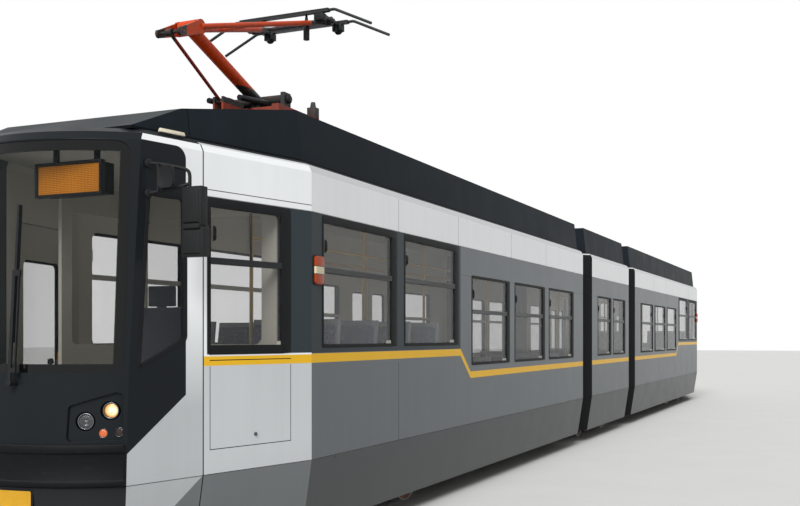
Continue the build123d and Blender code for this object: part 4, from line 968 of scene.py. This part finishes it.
# ---------------------------------------------------------------- Destination display
# Matrix display in a black sheet housing, hung from the roof behind the top of the
# windscreen. Its face is bare, with only the amber cells showing.
DISPLAY_LEFT, DISPLAY_UP, CELL = 0.3, 2.795, 0.006
display = Finish("display_amber_cells", Emission_Strength=0.25, IOR=1.2)
left, _, up = display.place()
face = abs(left - DISPLAY_LEFT).below(0.264, 0.003) * abs(up - DISPLAY_UP).below(0.094, 0.003)
face = face * display.facing()[1].below(-0.8, 0.1)
cells = left.folded(CELL).above(0.0028, 0.001) * up.folded(CELL).above(0.0028, 0.001)
amber = display.mix(cells, (150, 88, 20), (214, 142, 44))
amber = display.lighter(amber, display.wander(0.85, 0.3, 9.0))
display.wear(
    Base_Color=display.mix(face, (24, 25, 27), amber),
    Emission_Color=display.mix(face, (0, 0, 0), amber),
    Roughness=display.wander(0.35, 0.2, 30.0),
)
dress(display, "destination_display")
hood = block("display_hood", (0.018, -12.85, 2.678), (0.582, -12.80, 2.912))
drawn_out(hood, "-y", 0.016, ((0, 0.0195, 0),))
choose(hood, "FACE",
       lambda at, out: abs(out.y) > 0.9 and abs(at.x - DISPLAY_LEFT) < 0.1 and at.y > -12.84)
bpy.ops.mesh.delete(type="FACE")
bpy.ops.mesh.select_mode(type="EDGE")
bpy.ops.mesh.select_non_manifold()
bpy.ops.mesh.bridge_edge_loops()
close_edit()
painted(soften(hood, 0.004), lamp_black)
fit(hood, "front_car")

# ---------------------------------------------------------------- Cab side fittings
# A round steel lock in the side hatch, and the pale painted end of the rain gutter, which
# is screwed on over the cab corner.
lock_metal = mottled(
    "hatch_lock_metal", (30.0,), (60, 62, 64), (92, 94, 96), (0.3, 0.15, 60.0), Metallic=0.6
)
gutter_paint = mottled(
    "gutter_end_paint", (40.0, 4.0), (206, 196, 172), (224, 216, 196), (0.4, 0.15, 60.0)
)
lock = begin("cylinder", "hatch_lock", vertices=24, radius=0.014, depth=0.008)
soften(sunken(lock, "+z", 0.005, (0, 0, -0.002)), 0.0008)
painted(settle(lock, turn=(0, 90, 0)), lock_metal)
gutter = block("gutter_end", (-0.014, -0.11, -0.013), (0.014, 0.11, 0.013))
painted(soften(narrowed(gutter, "+z", (0.6, 0.96, 1)), 0.003), gutter_paint)
for end, along in ENDS:
    fittings = []
    for side in (1, -1):
        for pattern, spot in (
            (lock, taper_spot(side, along, 0.62, 1.018, proud=0.004)),
            (gutter, (side * 0.835, along * 12.42, 3.142)),
        ):
            turn = side * along * TAPER
            fittings.append(copied(pattern, "fitting", spot, (side, -along, 1), turn))
    fit(joined(f"{end}_car_cab_fittings", fittings), f"{end}_car")
cleared(lock, gutter)

# ---------------------------------------------------------------- Mirrors
# Two moulded mirror heads, one over the other, on a loop of black tube clamped to the nose
# side, with a small dished mirror held between the tubes.
head_plastic = mottled(
    "mirror_head_plastic", (9.0, 4.0), (22, 23, 24), (34, 35, 36), (0.45, 0.2, 20.0),
    (420.0, 2.0, 0.0003), IOR=1.25,
)
mirror_glass = mottled(
    "mirror_glass", (3.0,), (188, 192, 194), (206, 210, 212), (0.02, 0.03, 6.0), Metallic=1.0
)


def mirror_head(low, high):
    """Housing with a rounded back and the glass sunk in its rear face."""
    housing = block("mirror_head", low, high)
    drawn_out(housing, "-y", 0.014, ((0, -0.012, 0), (0.9, 1, 0.92)))
    drawn_out(housing, "+y", 0.009, ((0, -0.008, 0),))
    painted(soften(housing, 0.009, 3), head_plastic)
    glass = block("mirror_pane", (low[0] + 0.011, high[1] - 0.012, low[2] + 0.011),
                  (high[0] - 0.011, high[1] - 0.005, high[2] - 0.011))
    painted(soften(rounded(glass, "y", 0.012, 4), 0.001), mirror_glass)
    return housing, glass


def tube(name, route, thickness, finish):
    """Round bar that is bent softly at its inner points, made a mesh."""
    curve = bpy.data.curves.new(name, "CURVE")
    curve.dimensions = "3D"
    curve.bevel_depth = thickness
    curve.bevel_resolution = 3
    curve.resolution_u = 5
    curve.use_fill_caps = True
    line = curve.splines.new("NURBS")
    line.points.add(len(route) - 1)
    for point, at in zip(line.points, route):
        point.co = (*at, 1)
    line.order_u = 3
    line.use_endpoint_u = True
    piece = bpy.data.objects.new(name, curve)
    bpy.context.scene.collection.objects.link(piece)
    only(piece)
    bpy.ops.object.convert(target="MESH")
    return painted(smooth(piece, 60), finish)


ARM, HIGH_ARM, LOW_ARM = 0.012, 2.89, 2.69
foot_x, foot_y, _ = taper_spot(1, -1, 1.6139, HIGH_ARM)
hinge = block("head_hinge", (1.07, -12.63, 2.448), (1.20, -12.51, 2.480))
dish = rounded(block("dish_mirror", (0.925, -12.70, 2.715), (1.045, -12.672, 2.865)),
               "y", 0.035, 6)
mirror_parts = [
    *mirror_head((1.05, -12.607, 2.470), (1.206, -12.533, 2.730)),
    *mirror_head((1.05, -12.610, 2.267), (1.220, -12.530, 2.459)),
    tube("upper_arm_tube", [
        (foot_x, foot_y, HIGH_ARM), (foot_x + 0.04, foot_y - 0.01, HIGH_ARM),
        (1.03, -12.60, 2.86), (1.075, -12.576, 2.845), (1.09, -12.57, 2.82),
        (1.09, -12.57, 2.76), (1.09, -12.57, 2.30),
    ], ARM, head_plastic),
    tube("lower_arm_tube", [
        (foot_x, foot_y, LOW_ARM), (foot_x + 0.04, foot_y - 0.01, LOW_ARM),
        (1.05, -12.59, 2.735), (1.09, -12.57, 2.755),
    ], ARM, head_plastic),
    painted(soften(hinge, 0.004), head_plastic),
    tube("arm_brace", [(0.915, -12.68, 2.885), (0.915, -12.68, 2.70)], 0.009, head_plastic),
    painted(soften(sunken(dish, "-y", 0.008, (0, 0.004, 0)), 0.006), head_plastic),
]
for height in (HIGH_ARM, LOW_ARM):
    flange = begin("cylinder", "arm_flange", vertices=24, radius=0.03, depth=0.016)
    flange.rotation_euler = (0, radians(90), -TAPER)
    settle(flange, shift=(foot_x + 0.008, foot_y - 0.002, height))
    sunken(flange, "+x", 0.01, (0.004, 0, 0))
    mirror_parts.append(painted(soften(flange, 0.002), head_plastic))
left_mirrors = joined("mirror_set_left", mirror_parts)
right_mirrors = copied(left_mirrors, "mirror_set_right", flip=(-1, 1, 1))
mirrors = joined("front_mirror_sets", [left_mirrors, right_mirrors])
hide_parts("front_mirrors")
fit(mirrors, "front_car")

# ---------------------------------------------------------------- Wiper
# One arm in black-coated steel, turned by a spindle under the glass, that carries an
# upright rubber blade.
wiper_black = mottled(
    "wiper_black", (14.0, 4.0), (18, 19, 20), (36, 38, 40), (0.4, 0.2, 30.0), IOR=1.25
)
dress(wiper_black, "wiper")

# ---------------------------------------------------------------- Doors
# Flush leaves of the same painted skin, hung inside on a post, each with a tall tinted pane
# in a rubber section. The double doors have a soft rubber nosing down their closing edges.
DOOR_TONE = (44, 48, 48)
NEAR_LEAF, FAR_LEAF, LEAF_PANE, CAB_PANE = 5.426, 4.794, 0.21, 0.285
CAB_PANE_RUN = 0.58975


def door_paint(lie, panes, sill, stripe_low, *names):
    """Paint and pane of leaves that lie flat in the side or in its drawn-in part. Panes are
    given by their middle along the leaf and their half width."""
    leaf = Finish(f"door_paint_{lie}", IOR=1.25, **SPRAYED)
    left, rearward, up = leaf.place()
    ahead, depth = abs(rearward), HALF_WIDTH - abs(left)
    # Flat leaves take the shaded side tones and drawn-in leaves the lit cab tones: painted shade
    # and painted light on one paint.
    skin = leaf.mix(up.above(SKIRT_LINE), SHADED_SKIRT_GREY, SHADED_SILVER)
    if lie == "taper":
        past = ahead - TAPER_START
        ahead = depth * sin(TAPER) + past * cos(TAPER)
        depth = depth * cos(TAPER) - past * sin(TAPER)
        skin = leaf.mix(up.above(SKIRT_LINE), LIT_CAB_SKIRT, LIT_CAB_SILVER)
        skin = leaf.mix(up.above(WAIST), skin, BELT_GREY)
    across = 0.0
    for middle, half in panes:
        across = abs(ahead - middle).below(half, 0.0004) + across
    pane = across * up.within(sill, 2.36, 0.0004) * depth.within(0.0148, 0.0252, 0.0003)
    stripe = up.within(stripe_low, stripe_low + STRIPE_HIGH - STRIPE_LOW)
    skin = weathered(leaf, leaf.mix(stripe, skin, STRIPE_YELLOW), up)
    skin = leaf.mix(depth.above(0.0375, 0.001), skin, LINING)
    leaf.wear(
        Base_Color=leaf.mix(pane, skin, DOOR_TONE),
        Roughness=leaf.wander(0.26, 0.12, 3.0, 4.0) * (1 - pane) + pane * 0.03,
        Alpha=1 - pane * (0.92 - leaf.rim() * 0.55),
    )
    dress(leaf, *names)


door_paint("flat", ((NEAR_LEAF, LEAF_PANE), (FAR_LEAF, LEAF_PANE)), 0.72,
           STRIPE_LOW - STEP_DROP, "front_double_door_front_leaf",
           "front_double_door_rear_leaf", "rear_double_door_front_leaf",
           "rear_double_door_rear_leaf")
door_paint("taper", ((CAB_PANE_RUN, CAB_PANE),), 0.92, STRIPE_LOW, "front_door", "rear_door")

double_ring = pane_rubber(2 * LEAF_PANE, 1.64, 0.06, 0.026)
single_ring = pane_rubber(2 * CAB_PANE, 1.44, 0.06, 0.026)
nosing = begin("cylinder", "door_nosing", vertices=16, radius=0.013, depth=2.23)
cut(nosing, (0, -0.001, 0), (0, 1, 0), True)
settle(nosing, size=(1.15, 0.28, 1))
painted(soften(nosing, 0.0012), rubber)
near, far = (NEAR_LEAF, 5.1155), (FAR_LEAF, 5.1045)
for (end, along), leaves in zip(ENDS, ((near, far), (far, near))):
    for number, (middle, closing) in enumerate(leaves, 1):
        door = f"{end}_double_door_leaf_{number}"
        ring = copied(double_ring, f"{door}_ring", (-1.195, along * middle, 1.54), (-1, 1, 1))
        turn = pi if along * closing > along * middle else 0
        edge = copied(nosing, "nosing", (-1.1775, along * closing, 1.525), turn=turn)
        fit(joined(f"{door}_rubber", [ring, edge]), door)
    place = taper_spot(-1, along, CAB_PANE_RUN, 1.64, inward=0.005)
    ring = copied(single_ring, f"{end}_door_rubber", place, (-1, -along, 1), -along * TAPER)
    fit(ring, f"{end}_door_leaf")
cleared(double_ring, single_ring, nosing)

# ---------------------------------------------------------------- Floors and bulkhead
# Plywood decks under speckled sheet with a light step edge, on a welded steel underframe
# that is sprayed black. The cab bulkhead is a lined sandwich panel.
floor_cover = Finish("floor_cover_sheet", Specular_IOR_Level=0.3)
up, face_up = floor_cover.place()[2], floor_cover.facing()[2]
specks = floor_cover.grain(180.0, 2.0).above(0.62, 0.04)
step_edge = up.within(0.62, 0.88) * face_up.below(0.5)
cover = floor_cover.coated(
    (66, 69, 72), (specks * 0.6, (120, 122, 122)),
    (floor_cover.grain(2.0, 5.0) * 0.5, (84, 80, 74)), (step_edge, (150, 146, 132)),
)
grime = floor_cover.grain(7.0, 6.0) * 0.7
under = floor_cover.mix(grime.least(0.7), (34, 34, 35), (84, 74, 62))
below = face_up.below(0.5) * up.below(0.49, 0.01) + (0.0 - face_up).above(0.5, 0.1)
floor_cover.wear(
    Base_Color=floor_cover.mix(below.least(1.0), cover, under),
    Roughness=floor_cover.wander(0.5, 0.25, 12.0),
)
floor_cover.relief(floor_cover.grain(120.0, 3.0), 0.0006)
dress(floor_cover, "front_floor", "middle_floor", "rear_floor")

panel_lining = Finish("bulkhead_lining")
joint = panel_lining.place()[0].folded(0.4).above(0.397, 0.001)
lining = panel_lining.mix(panel_lining.grain(3.0, 4.0), (168, 164, 152), (184, 180, 168))
panel_lining.wear(
    Base_Color=panel_lining.mix(joint, lining, (90, 88, 82)),
    Roughness=panel_lining.wander(0.4, 0.15, 18.0),
)
panel_lining.relief(panel_lining.grain(240.0, 2.0), 0.0003)
dress(panel_lining, "cab_bulkhead")

# ---------------------------------------------------------------- Passenger seats
# Moulded shells bolted to a pedestal. Each place has a thin foam pad in blue plush on the
# squab and on the back, glued into the shell.
shell_plastic = mottled(
    "seat_shell_plastic", (5.0, 4.0), (96, 101, 108), (120, 125, 131), (0.35, 0.2, 14.0, 4.0),
    (300.0, 2.0, 0.0003),
)
dress(shell_plastic, "front_seats", "middle_seats", "rear_seats")
plush = Finish("seat_plush", Sheen_Weight=0.5, Sheen_Roughness=0.4, Specular_IOR_Level=0.2)
rows = plush.place()[0].folded(0.012).above(0.009, 0.002)
flecks = plush.grain(90.0, 2.0).above(0.6, 0.05)
cloth = plush.coated((36, 52, 96), (flecks, (150, 138, 70)), (rows * 0.5, (24, 34, 66)))
plush.wear(
    Base_Color=plush.lighter(cloth, plush.wander(0.85, 0.3, 4.0, 4.0)),
    Roughness=plush.wander(0.75, 0.2, 200.0),
)
plush.relief(plush.grain(500.0, 3.0), 0.0012)


def cushion(name, wide, deep, thick, crown, finish):
    """Crowned foam pad lying at the origin, its sides drawn in between the corners."""
    pad = begin("cube", name, size=1)
    settle(pad, size=(wide, deep, thick), shift=(0, 0, thick / 2))
    choose(pad, "FACE", anywhere)
    bpy.ops.mesh.subdivide(number_cuts=5)
    close_edit()
    for reach, lift in ((0.46, 0.25), (0.34, 0.45), (0.18, 0.3)):
        moved(pad, lambda at: at.z > thick * 0.95 and abs(at.x) < wide * reach
              and abs(at.y) < deep * reach, (0, 0, crown * lift))
    for low, inward in ((True, 0.012), (False, -0.012)):
        moved(pad, lambda at: abs(at.x) > wide * 0.49 and abs(at.y) < deep * 0.35
              and (at.x < 0) == low, (inward * wide, 0, 0))
        moved(pad, lambda at: abs(at.y) > deep * 0.49 and abs(at.x) < wide * 0.35
              and (at.y < 0) == low, (0, inward * deep, 0))
    work(pad, "SUBSURF", levels=2, render_levels=2)
    return painted(smooth(pad, 80), finish)


squab = cushion("squab_pad", 0.40, 0.35, 0.022, 0.012, plush)
back = cushion("back_pad", 0.40, 0.50, 0.022, 0.012, plush)
settle(back, turn=(90, 0, 0))
settle(back, turn=(-10, 0, 0))
TWIN, SINGLE, HIGH, LOW = 0.84, 0.44, 0.9, 0.5
# Distance left of the middle, width, places ahead of the gangway and floor of the seats
SEAT_ROWS = (
    (0.69, TWIN, (8.47, 7.71, 6.95, 6.19), HIGH), (-0.89, SINGLE, (7.71, 6.95, 6.19), HIGH),
    (0.66, TWIN, (4.39, 1.97, 1.21), LOW), (-0.86, SINGLE, (4.39, 1.21), LOW),
)


def seat_pads(name, body, seats):
    """Pads for seats given by place, width, place of the back and floor."""
    pads = []
    for centre, width, rear, floor in seats:
        places = (centre - width / 4, centre + width / 4) if width > 0.6 else (centre,)
        for left_at in places:
            pads.append(copied(squab, "pad", (left_at, rear - 0.245, floor + 0.4255)))
            pads.append(copied(back, "pad", (left_at, rear - 0.0125, floor + 0.70)))
    pads = joined(name, pads)
    fit(pads, body)


def car_seats(start, along):
    return [(at, wide, start + along * ahead, floor)
            for at, wide, places, floor in SEAT_ROWS for ahead in places]


seat_pads("front_seat_pads", "front_car", car_seats(-2.03, -1))
seat_pads("rear_seat_pads", "rear_car", car_seats(2.46, 1) + [(0.56, 0.72, 11.64, HIGH)])
seat_pads("middle_seat_pads", "middle_car",
          [(side * 0.85, 0.43, turn + 0.215, 0.49) for side in (1, -1) for turn in (0.9, -0.9)])
cleared(squab, back)

# ---------------------------------------------------------------- Handrails
# Bent steel tube in worn yellow powder coat, screwed to the floor and the ceiling beside
# the seats and doors.
rail_coat = Finish("handrail_coat", Coat_Weight=0.3)
worn = rail_coat.grain(16.0, 5.0).above(0.52, 0.1)
rubbed = rail_coat.place()[2].within(1.6, 2.3, 0.5) * worn
rail_coat.wear(
    Base_Color=rail_coat.mix(rubbed * 0.5, (204, 158, 40), (150, 128, 74)),
    Roughness=rail_coat.wander(0.25, 0.15, 20.0),
)
dress(rail_coat, "front_handrails", "rear_handrails")

# ---------------------------------------------------------------- Cab console
# Driver's desk in soft-grained grey plastic, with a sloped panel of blank dials, push
# buttons and a driving handle screwed on top.
desk_plastic = mottled(
    "cab_desk_plastic", (4.0, 4.0), (56, 60, 63), (72, 76, 79), (0.5, 0.2, 30.0),
    (350.0, 2.0, 0.0005),
)
dress(desk_plastic, "cab_console")
key_cap = Finish("desk_key_caps", Emission_Strength=0.25)
warm = key_cap.place()[0].folded(0.05).above(0.025, 0.001)
caps = key_cap.mix(warm, (70, 120, 76), (200, 132, 44))
key_cap.wear(Base_Color=caps, Emission_Color=caps, Roughness=key_cap.wander(0.3, 0.1, 20.0))
_, (_, desk_rear, desk_top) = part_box("cab_console")
panel_y = desk_rear - 0.17
SLOPE = (-20, 0, 0)
panel = block("desk_panel", (0.0, panel_y - 0.11, desk_top),
              (0.52, panel_y + 0.11, desk_top + 0.03))
moved(panel, lambda at: at.z > desk_top + 0.02 and at.y < panel_y, (0, 0.03, 0.07))
choose(panel, "FACE", lambda at, out: out.z > 0.5 and out.y > 0.1)
bpy.ops.mesh.inset(thickness=0.014)
bpy.ops.transform.translate(value=(0, 0, -0.004))
close_edit()
dial = begin("cylinder", "dial", vertices=32, radius=0.042, depth=0.024)
soften(sunken(dial, "+z", 0.006, (0, 0, -0.005)), 0.001)
painted(settle(dial, turn=SLOPE), chrome)
cap = block("key", (-0.011, -0.011, 0), (0.011, 0.011, 0.014))
soften(narrowed(cap, "+z", (0.85, 0.85, 1)), 0.002)
painted(settle(cap, turn=SLOPE), key_cap)
lever = begin("cylinder", "driving_lever", vertices=20, radius=0.009, depth=0.13)
drawn_out(lever, "+z", 0, ((0, 0, 0.004), (2.6, 2.6, 1)), ((0, 0, 0.034), (0.8, 0.8, 1)))
settle(soften(lever, 0.002), turn=(12, 0, 0), shift=(-0.1, panel_y + 0.05, desk_top + 0.062))
desk_parts = [
    painted(soften(panel, 0.004), lamp_black),
    *[copied(dial, "dial", (left_at, panel_y, desk_top + 0.07)) for left_at in (0.10, 0.22)],
    *[copied(cap, "key", (0.32 + column * 0.045, panel_y - 0.04 + row * 0.06,
                          desk_top + 0.082 - row * 0.02))
      for row in range(2) for column in range(4)],
    painted(lever, lamp_black),
]
fit(joined("cab_desk_controls", desk_parts), "front_car")
cleared(dial, cap)

# ---------------------------------------------------------------- Driver's seat
# Sprung seat with foam cushion, backrest and headrest in dark woven cloth, on a black steel
# pedestal with a bellows boot.
seat_low, seat_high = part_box("driver_seat")
seat_left, seat_floor = (seat_low[0] + seat_high[0]) / 2, seat_low[2]
seat_cloth = Finish("driver_seat_cloth", Sheen_Weight=0.4, Specular_IOR_Level=0.2)
left, rearward, up = seat_cloth.place()
seat_cloth.wear(
    Base_Color=seat_cloth.mix(seat_cloth.grain(60.0, 4.0), (40, 42, 48), (66, 68, 76)),
    Roughness=seat_cloth.wander(0.75, 0.2, 90.0),
)
seat_cloth.relief((left.folded(0.002) + (rearward + up).folded(0.002)) * 250.0, 0.0006)
seat_pad = cushion("driver_cushion", 0.46, 0.44, 0.085, 0.014, seat_cloth)
back_pad = cushion("driver_backrest", 0.41, 0.57, 0.07, 0.016, seat_cloth)
rest_pad = cushion("driver_headrest", 0.23, 0.16, 0.06, 0.012, seat_cloth)
settle(seat_pad, shift=(seat_left, -11.99, 1.304))
for pad, y, height in ((back_pad, -11.712, 1.685), (rest_pad, -11.72, 2.05)):
    settle(pad, turn=(90, 0, 0))
    settle(pad, shift=(seat_left, y, height))
seat_foam = joined("driver_seat_foam", [seat_pad, back_pad, rest_pad])
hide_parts("driver_seat")
fit(seat_foam, "front_car")
pedestal = begin("cylinder", "driver_pedestal", vertices=32, radius=0.15, depth=0.03)
settle(pedestal, shift=(seat_left, -11.98, seat_floor + 0.015))
folds = ((0.05, 0.85), *((0.03, 1.15), (0.03, 0.87)) * 3, (0.11, 0.9), (0.004, 2.2), (0.03, 1.0))
drawn_out(pedestal, "+z", 0.06, *[((0, 0, lift), (wide, wide, 1)) for lift, wide in folds])
spine = block("seat_spine", (seat_left - 0.04, -11.765, 1.30), (seat_left + 0.04, -11.745, 1.98))
drawn_out(spine, "y", 0.012)
stand = [painted(soften(pedestal, 0.003), lamp_black), painted(soften(spine, 0.004), lamp_black)]
fit(joined("driver_seat_stand", stand), "front_car")

# ---------------------------------------------------------------- Bellows
# Folded rubber-cloth hoops between the cars, clamped at each end.
BELLOWS_START, BELLOWS_LENGTH, FOLDS, FOLD_SPREAD = 1.642, 0.386, 24, 0.957
bellows_rubber = Finish("bellows_rubber_cloth", Specular_IOR_Level=0.35)
# Across each fold the cloth is painted from dark to light and back, as painted shade in the
# creases and painted light on the ridges. The dust is real.
folds = (abs(bellows_rubber.place()[1]) - 1.64).folded(0.0163) * 61.0
dust = bellows_rubber.grain(5.0, 6.0, (1, 1, 0.3)) * 0.6
bellows_rubber.wear(
    Base_Color=bellows_rubber.coated(
        (20, 21, 22), (folds, (52, 53, 54)), (dust.least(0.55), (86, 82, 76))
    ),
    Roughness=bellows_rubber.wander(0.6, 0.2, 22.0, 4.0),
)
bellows_rubber.relief(bellows_rubber.grain(420.0, 2.0), 0.0005)
hoop = begin("plane", "bellows", size=1)
settle(hoop, size=(2.05, 2.70, 1), turn=(90, 0, 0), shift=(0, BELLOWS_START, 1.69))
clipped(hoop, 0.14, 5, lambda at: at.z > 2.5)
choose(hoop, "FACE", anywhere)
bpy.ops.mesh.delete(type="ONLY_FACE")
close_edit()
choose(hoop, "EDGE", lambda at, run: at.z < 0.35)
bpy.ops.mesh.delete(type="EDGE")
close_edit()
fold = BELLOWS_LENGTH / FOLDS
for number in range(FOLDS):
    choose(hoop, "EDGE", lambda at, run: at.y > BELLOWS_START + number * fold - 0.004)
    extrude((0, fold, 0))
    spread = 1 / FOLD_SPREAD if number % 2 else FOLD_SPREAD
    bpy.ops.transform.resize(value=(spread, 1, spread), center_override=(0, 0, 0.34))
    close_edit()
choose(hoop, "FACE", anywhere)
bpy.ops.mesh.normals_make_consistent(inside=False)
close_edit()
work(hoop, "SOLIDIFY", thickness=0.007, offset=0.0)
painted(smooth(hoop, 25), bellows_rubber)
for end, along, first, second, start, stop in (
    ("front", -1, "front_car", "middle_car", -2.03, -1.64),
    ("rear", 1, "middle_car", "rear_car", 1.64, 2.03),
):
    folded = copied(hoop, f"{end}_car_folded_bellows", flip=(1, along, 1))
    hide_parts(f"{end}_bellows")
    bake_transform(folded)
cleared(hoop)

# ---------------------------------------------------------------- Bogies and wheels
# Welded bogie frames, sprayed dark and caked in brake dust. The wheels are rolled steel with
# a bright running band, and rubbed flanges.
bogie_paint = Finish("bogie_frame_paint")
caked = bogie_paint.grain(6.0, 6.0).above(0.44, 0.2)
rusty = bogie_paint.grain(21.0, 6.0).above(0.6, 0.06)
bogie_paint.wear(
    Base_Color=bogie_paint.coated(
        (46, 47, 48), (caked * 0.7, (84, 74, 64)), (rusty * 0.6, (104, 66, 42))
    ),
    Roughness=bogie_paint.wander(0.6, 0.25, 12.0),
)
bogie_paint.relief(bogie_paint.grain(70.0, 4.0), 0.0012)
dress(bogie_paint, "front_bogie_frame", "rear_bogie_frame", "trailer_frame")
for numbers in ((1, 2, 5, 6), (3, 4)):
    wheel = Finish(f"wheel_steel_{numbers[0]}", Metallic=0.7)
    _, rearward, up = wheel.place()
    (low, high), (next_low, next_high) = [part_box(f"wheelset_{n}") for n in numbers[:2]]
    first, second = abs((low[1] + high[1]) / 2), abs((next_low[1] + next_high[1]) / 2)
    forward = abs(rearward)
    near = abs(forward - first).least(abs(forward - second))
    turning = near.reach(up - (low[2] + high[2]) / 2)
    tread = turning.above((high[2] - low[2]) / 2 - 0.038, 0.002)
    rust = wheel.grain(16.0, 6.0).above(0.42, 0.2)
    web = wheel.mix(rust * 0.8, (60, 58, 56), (112, 74, 50))
    wheel.wear(
        Base_Color=wheel.mix(tread, web, (168, 168, 170)),
        Roughness=wheel.wander(0.55, 0.2, 30.0) - tread * 0.3,
    )
    wheel.relief(wheel.grain(60.0, 4.0), 0.0008)
    dress(wheel, *[f"wheelset_{number}" for number in numbers])

# ---------------------------------------------------------------- Pantograph
# Half-pantograph: red-brown base on ribbed insulators, orange arms, springs and a raising
# cylinder, and a dark head with two carbon strips on sprung boxes and drooping round horns.
base_paint = Finish("pantograph_base_paint", IOR=1.25)
up = base_paint.place()[2]
dirt = base_paint.grain(9.0, 6.0).above(0.5, 0.25) * 0.5
insulator = up.below(3.738)
metal = base_paint.coated(
    (148, 62, 44), (up.above(3.803, 0.002), (52, 54, 56)), (dirt, (70, 56, 48))
)
glaze = base_paint.mix(base_paint.grain(12.0) * 0.3, (96, 50, 38), (120, 70, 54))
base_paint.wear(
    Base_Color=base_paint.mix(insulator, metal, glaze),
    Roughness=base_paint.wander(0.45, 0.2, 20.0) - insulator * 0.2,
)
base_paint.relief(base_paint.grain(80.0, 3.0), 0.0006)
dress(base_paint, "pantograph_base")


def arm_finish(name, node, foot, lower, upper=None, line=5.0):
    """Sprayed steel tube, dark below its foot and at the knee. Behind a line it may change
    colour."""
    paint = Finish(name, IOR=1.3)
    _, rearward, up = paint.place()
    joint = (up.below(foot, 0.004) + rearward.below(-11.25, 0.004)).least(1.0)
    worn = paint.grain(18.0, 6.0).above(0.62, 0.06) * 0.5
    soot = paint.grain(4.0, 6.0) * 0.28
    paint.wear(
        Base_Color=paint.coated(
            lower, (rearward.above(line, 0.004), upper or lower), (joint, (38, 38, 39)),
            (worn, (126, 70, 40)), (soot, (60, 48, 42)),
        ),
        Roughness=paint.wander(0.35, 0.2, 20.0),
    )
    paint.relief(paint.grain(120.0, 3.0), 0.0004)
    dress(paint, node)


arm_finish("lower_arm_orange", "pantograph_lower_arm", 4.02, (212, 66, 6))
arm_finish("upper_arm_two_tone", "pantograph_upper_arm", 0.0, (190, 62, 10), (40, 42, 44), -9.46)
arm_finish("coupling_rod_red", "pantograph_rod", 3.84, (136, 34, 26))
head_metal = Finish("collector_head_metal", IOR=1.3)
left, _, up = head_metal.place()
carbon = up.above(4.884, 0.002) * abs(left).below(0.5)
alloy = head_metal.mix(head_metal.grain(10.0, 5.0), (38, 40, 42), (58, 61, 63))
head_metal.wear(
    Base_Color=head_metal.mix(carbon, alloy, (34, 34, 36)),
    Roughness=head_metal.wander(0.35, 0.12, 40.0, 3.0, (1, 0.1, 1)),
    Metallic=(1 - carbon) * 0.3,
)
head_metal.relief(head_metal.grain(150.0, 2.0), 0.0004)
dress(head_metal, "pantograph_head")

# Springs, raising cylinder and bearing caps on the base
spring_start, spring_end = Vector((0.16, -9.97, 3.905)), Vector((0.16, -10.40, 3.865))
spring_run = spring_end - spring_start
spring = begin("cylinder", "spring_wire", vertices=24, radius=0.026, depth=spring_run.length)
drawn_out(spring, "+z", 0, *(((0, 0, 0.008), (0.8, 0.8, 1)), ((0, 0, 0.008), (1.25, 1.25, 1))) * 8)
spring.rotation_euler = spring_run.to_track_quat("Z", "Y").to_euler()
settle(spring, shift=(spring_start + spring_end) / 2)
painted(soften(spring, 0.002), lamp_black)
springs = [spring, copied(spring, "spring_wire", (-0.32, 0, 0))]
cylinder = begin("cylinder", "raising_cylinder", vertices=32, radius=0.062, depth=0.30)
drawn_out(cylinder, "z", 0.012, ((0, 0, 0), (0.7, 0.7, 1.12)))
settle(soften(cylinder, 0.004), turn=(90, 0, 0), shift=(0, -9.86, 3.85))
bearing_caps = []
for side, way in ((1, "+x"), (-1, "-x")):
    cap = begin("cylinder", "bearing_cap", vertices=32, radius=0.042, depth=0.02)
    settle(cap, turn=(0, 90, 0), shift=(side * 0.335, -9.96, 3.94))
    sunken(cap, way, 0.016, (side * 0.012, 0, 0))
    bearing_caps.append(painted(soften(cap, 0.003), lamp_black))
fittings = [*springs, painted(cylinder, lamp_black), *bearing_caps]
fit(joined("pantograph_base_fittings", fittings), "front_car")

# Spring socks, yokes and drop cylinder under the strips of the collector head
STRIPS_Y, BOX_SIDE = -9.27, 0.395
sock = begin("cylinder", "strip_spring_sock", vertices=20, radius=0.026, depth=0.02)
drawn_out(sock, "+z", 0, *[((0, 0, 0.008), (spread, spread, 1))
                           for spread in (0.7, 1.42, 0.7, 1.42, 0.7)])
painted(soften(sock, 0.001), lamp_black)
yoke = block("strip_yoke", (-0.05, -0.04, -0.034), (0.05, 0.04, 0.034))
drawn_out(yoke, "-z", 0.01, ((0, 0, -0.03), (0.45, 0.45, 1)))
painted(soften(yoke, 0.004), lamp_black)
drop_cylinder = begin("cylinder", "strip_drop_cylinder", vertices=28, radius=0.03, depth=0.15)
drawn_out(drop_cylinder, "+z", 0.008, ((0, 0, 0.09), (0.5, 0.5, 1)))
settle(soften(drop_cylinder, 0.003), shift=(0.24, -9.455, 4.708))
sprung = [
    copied(pattern, "strip_carrier", (side * BOX_SIDE, STRIPS_Y + turn * off, height))
    for pattern, off, height in ((sock, 0.12, 4.792), (yoke, 0.19, 4.834))
    for side in (1, -1) for turn in (1, -1)
]
sprung.append(painted(drop_cylinder, lamp_black))
fit(joined("head_spring_socks", sprung), "collector_head")
cleared(sock, yoke)

# Rests on the base that the folded head lies on
rest = block("head_rest", (0.405, -9.745, 3.795), (0.495, -9.665, 3.90))
drawn_out(rest, "+z", 0.02, ((0, 0, 0.055), (0.7, 0.7, 1)))
painted(soften(rest, 0.005), base_paint)
rests = [rest, copied(rest, "head_rest", (-0.9, 0, 0))]
fit(joined("pantograph_rests", rests), "front_car")
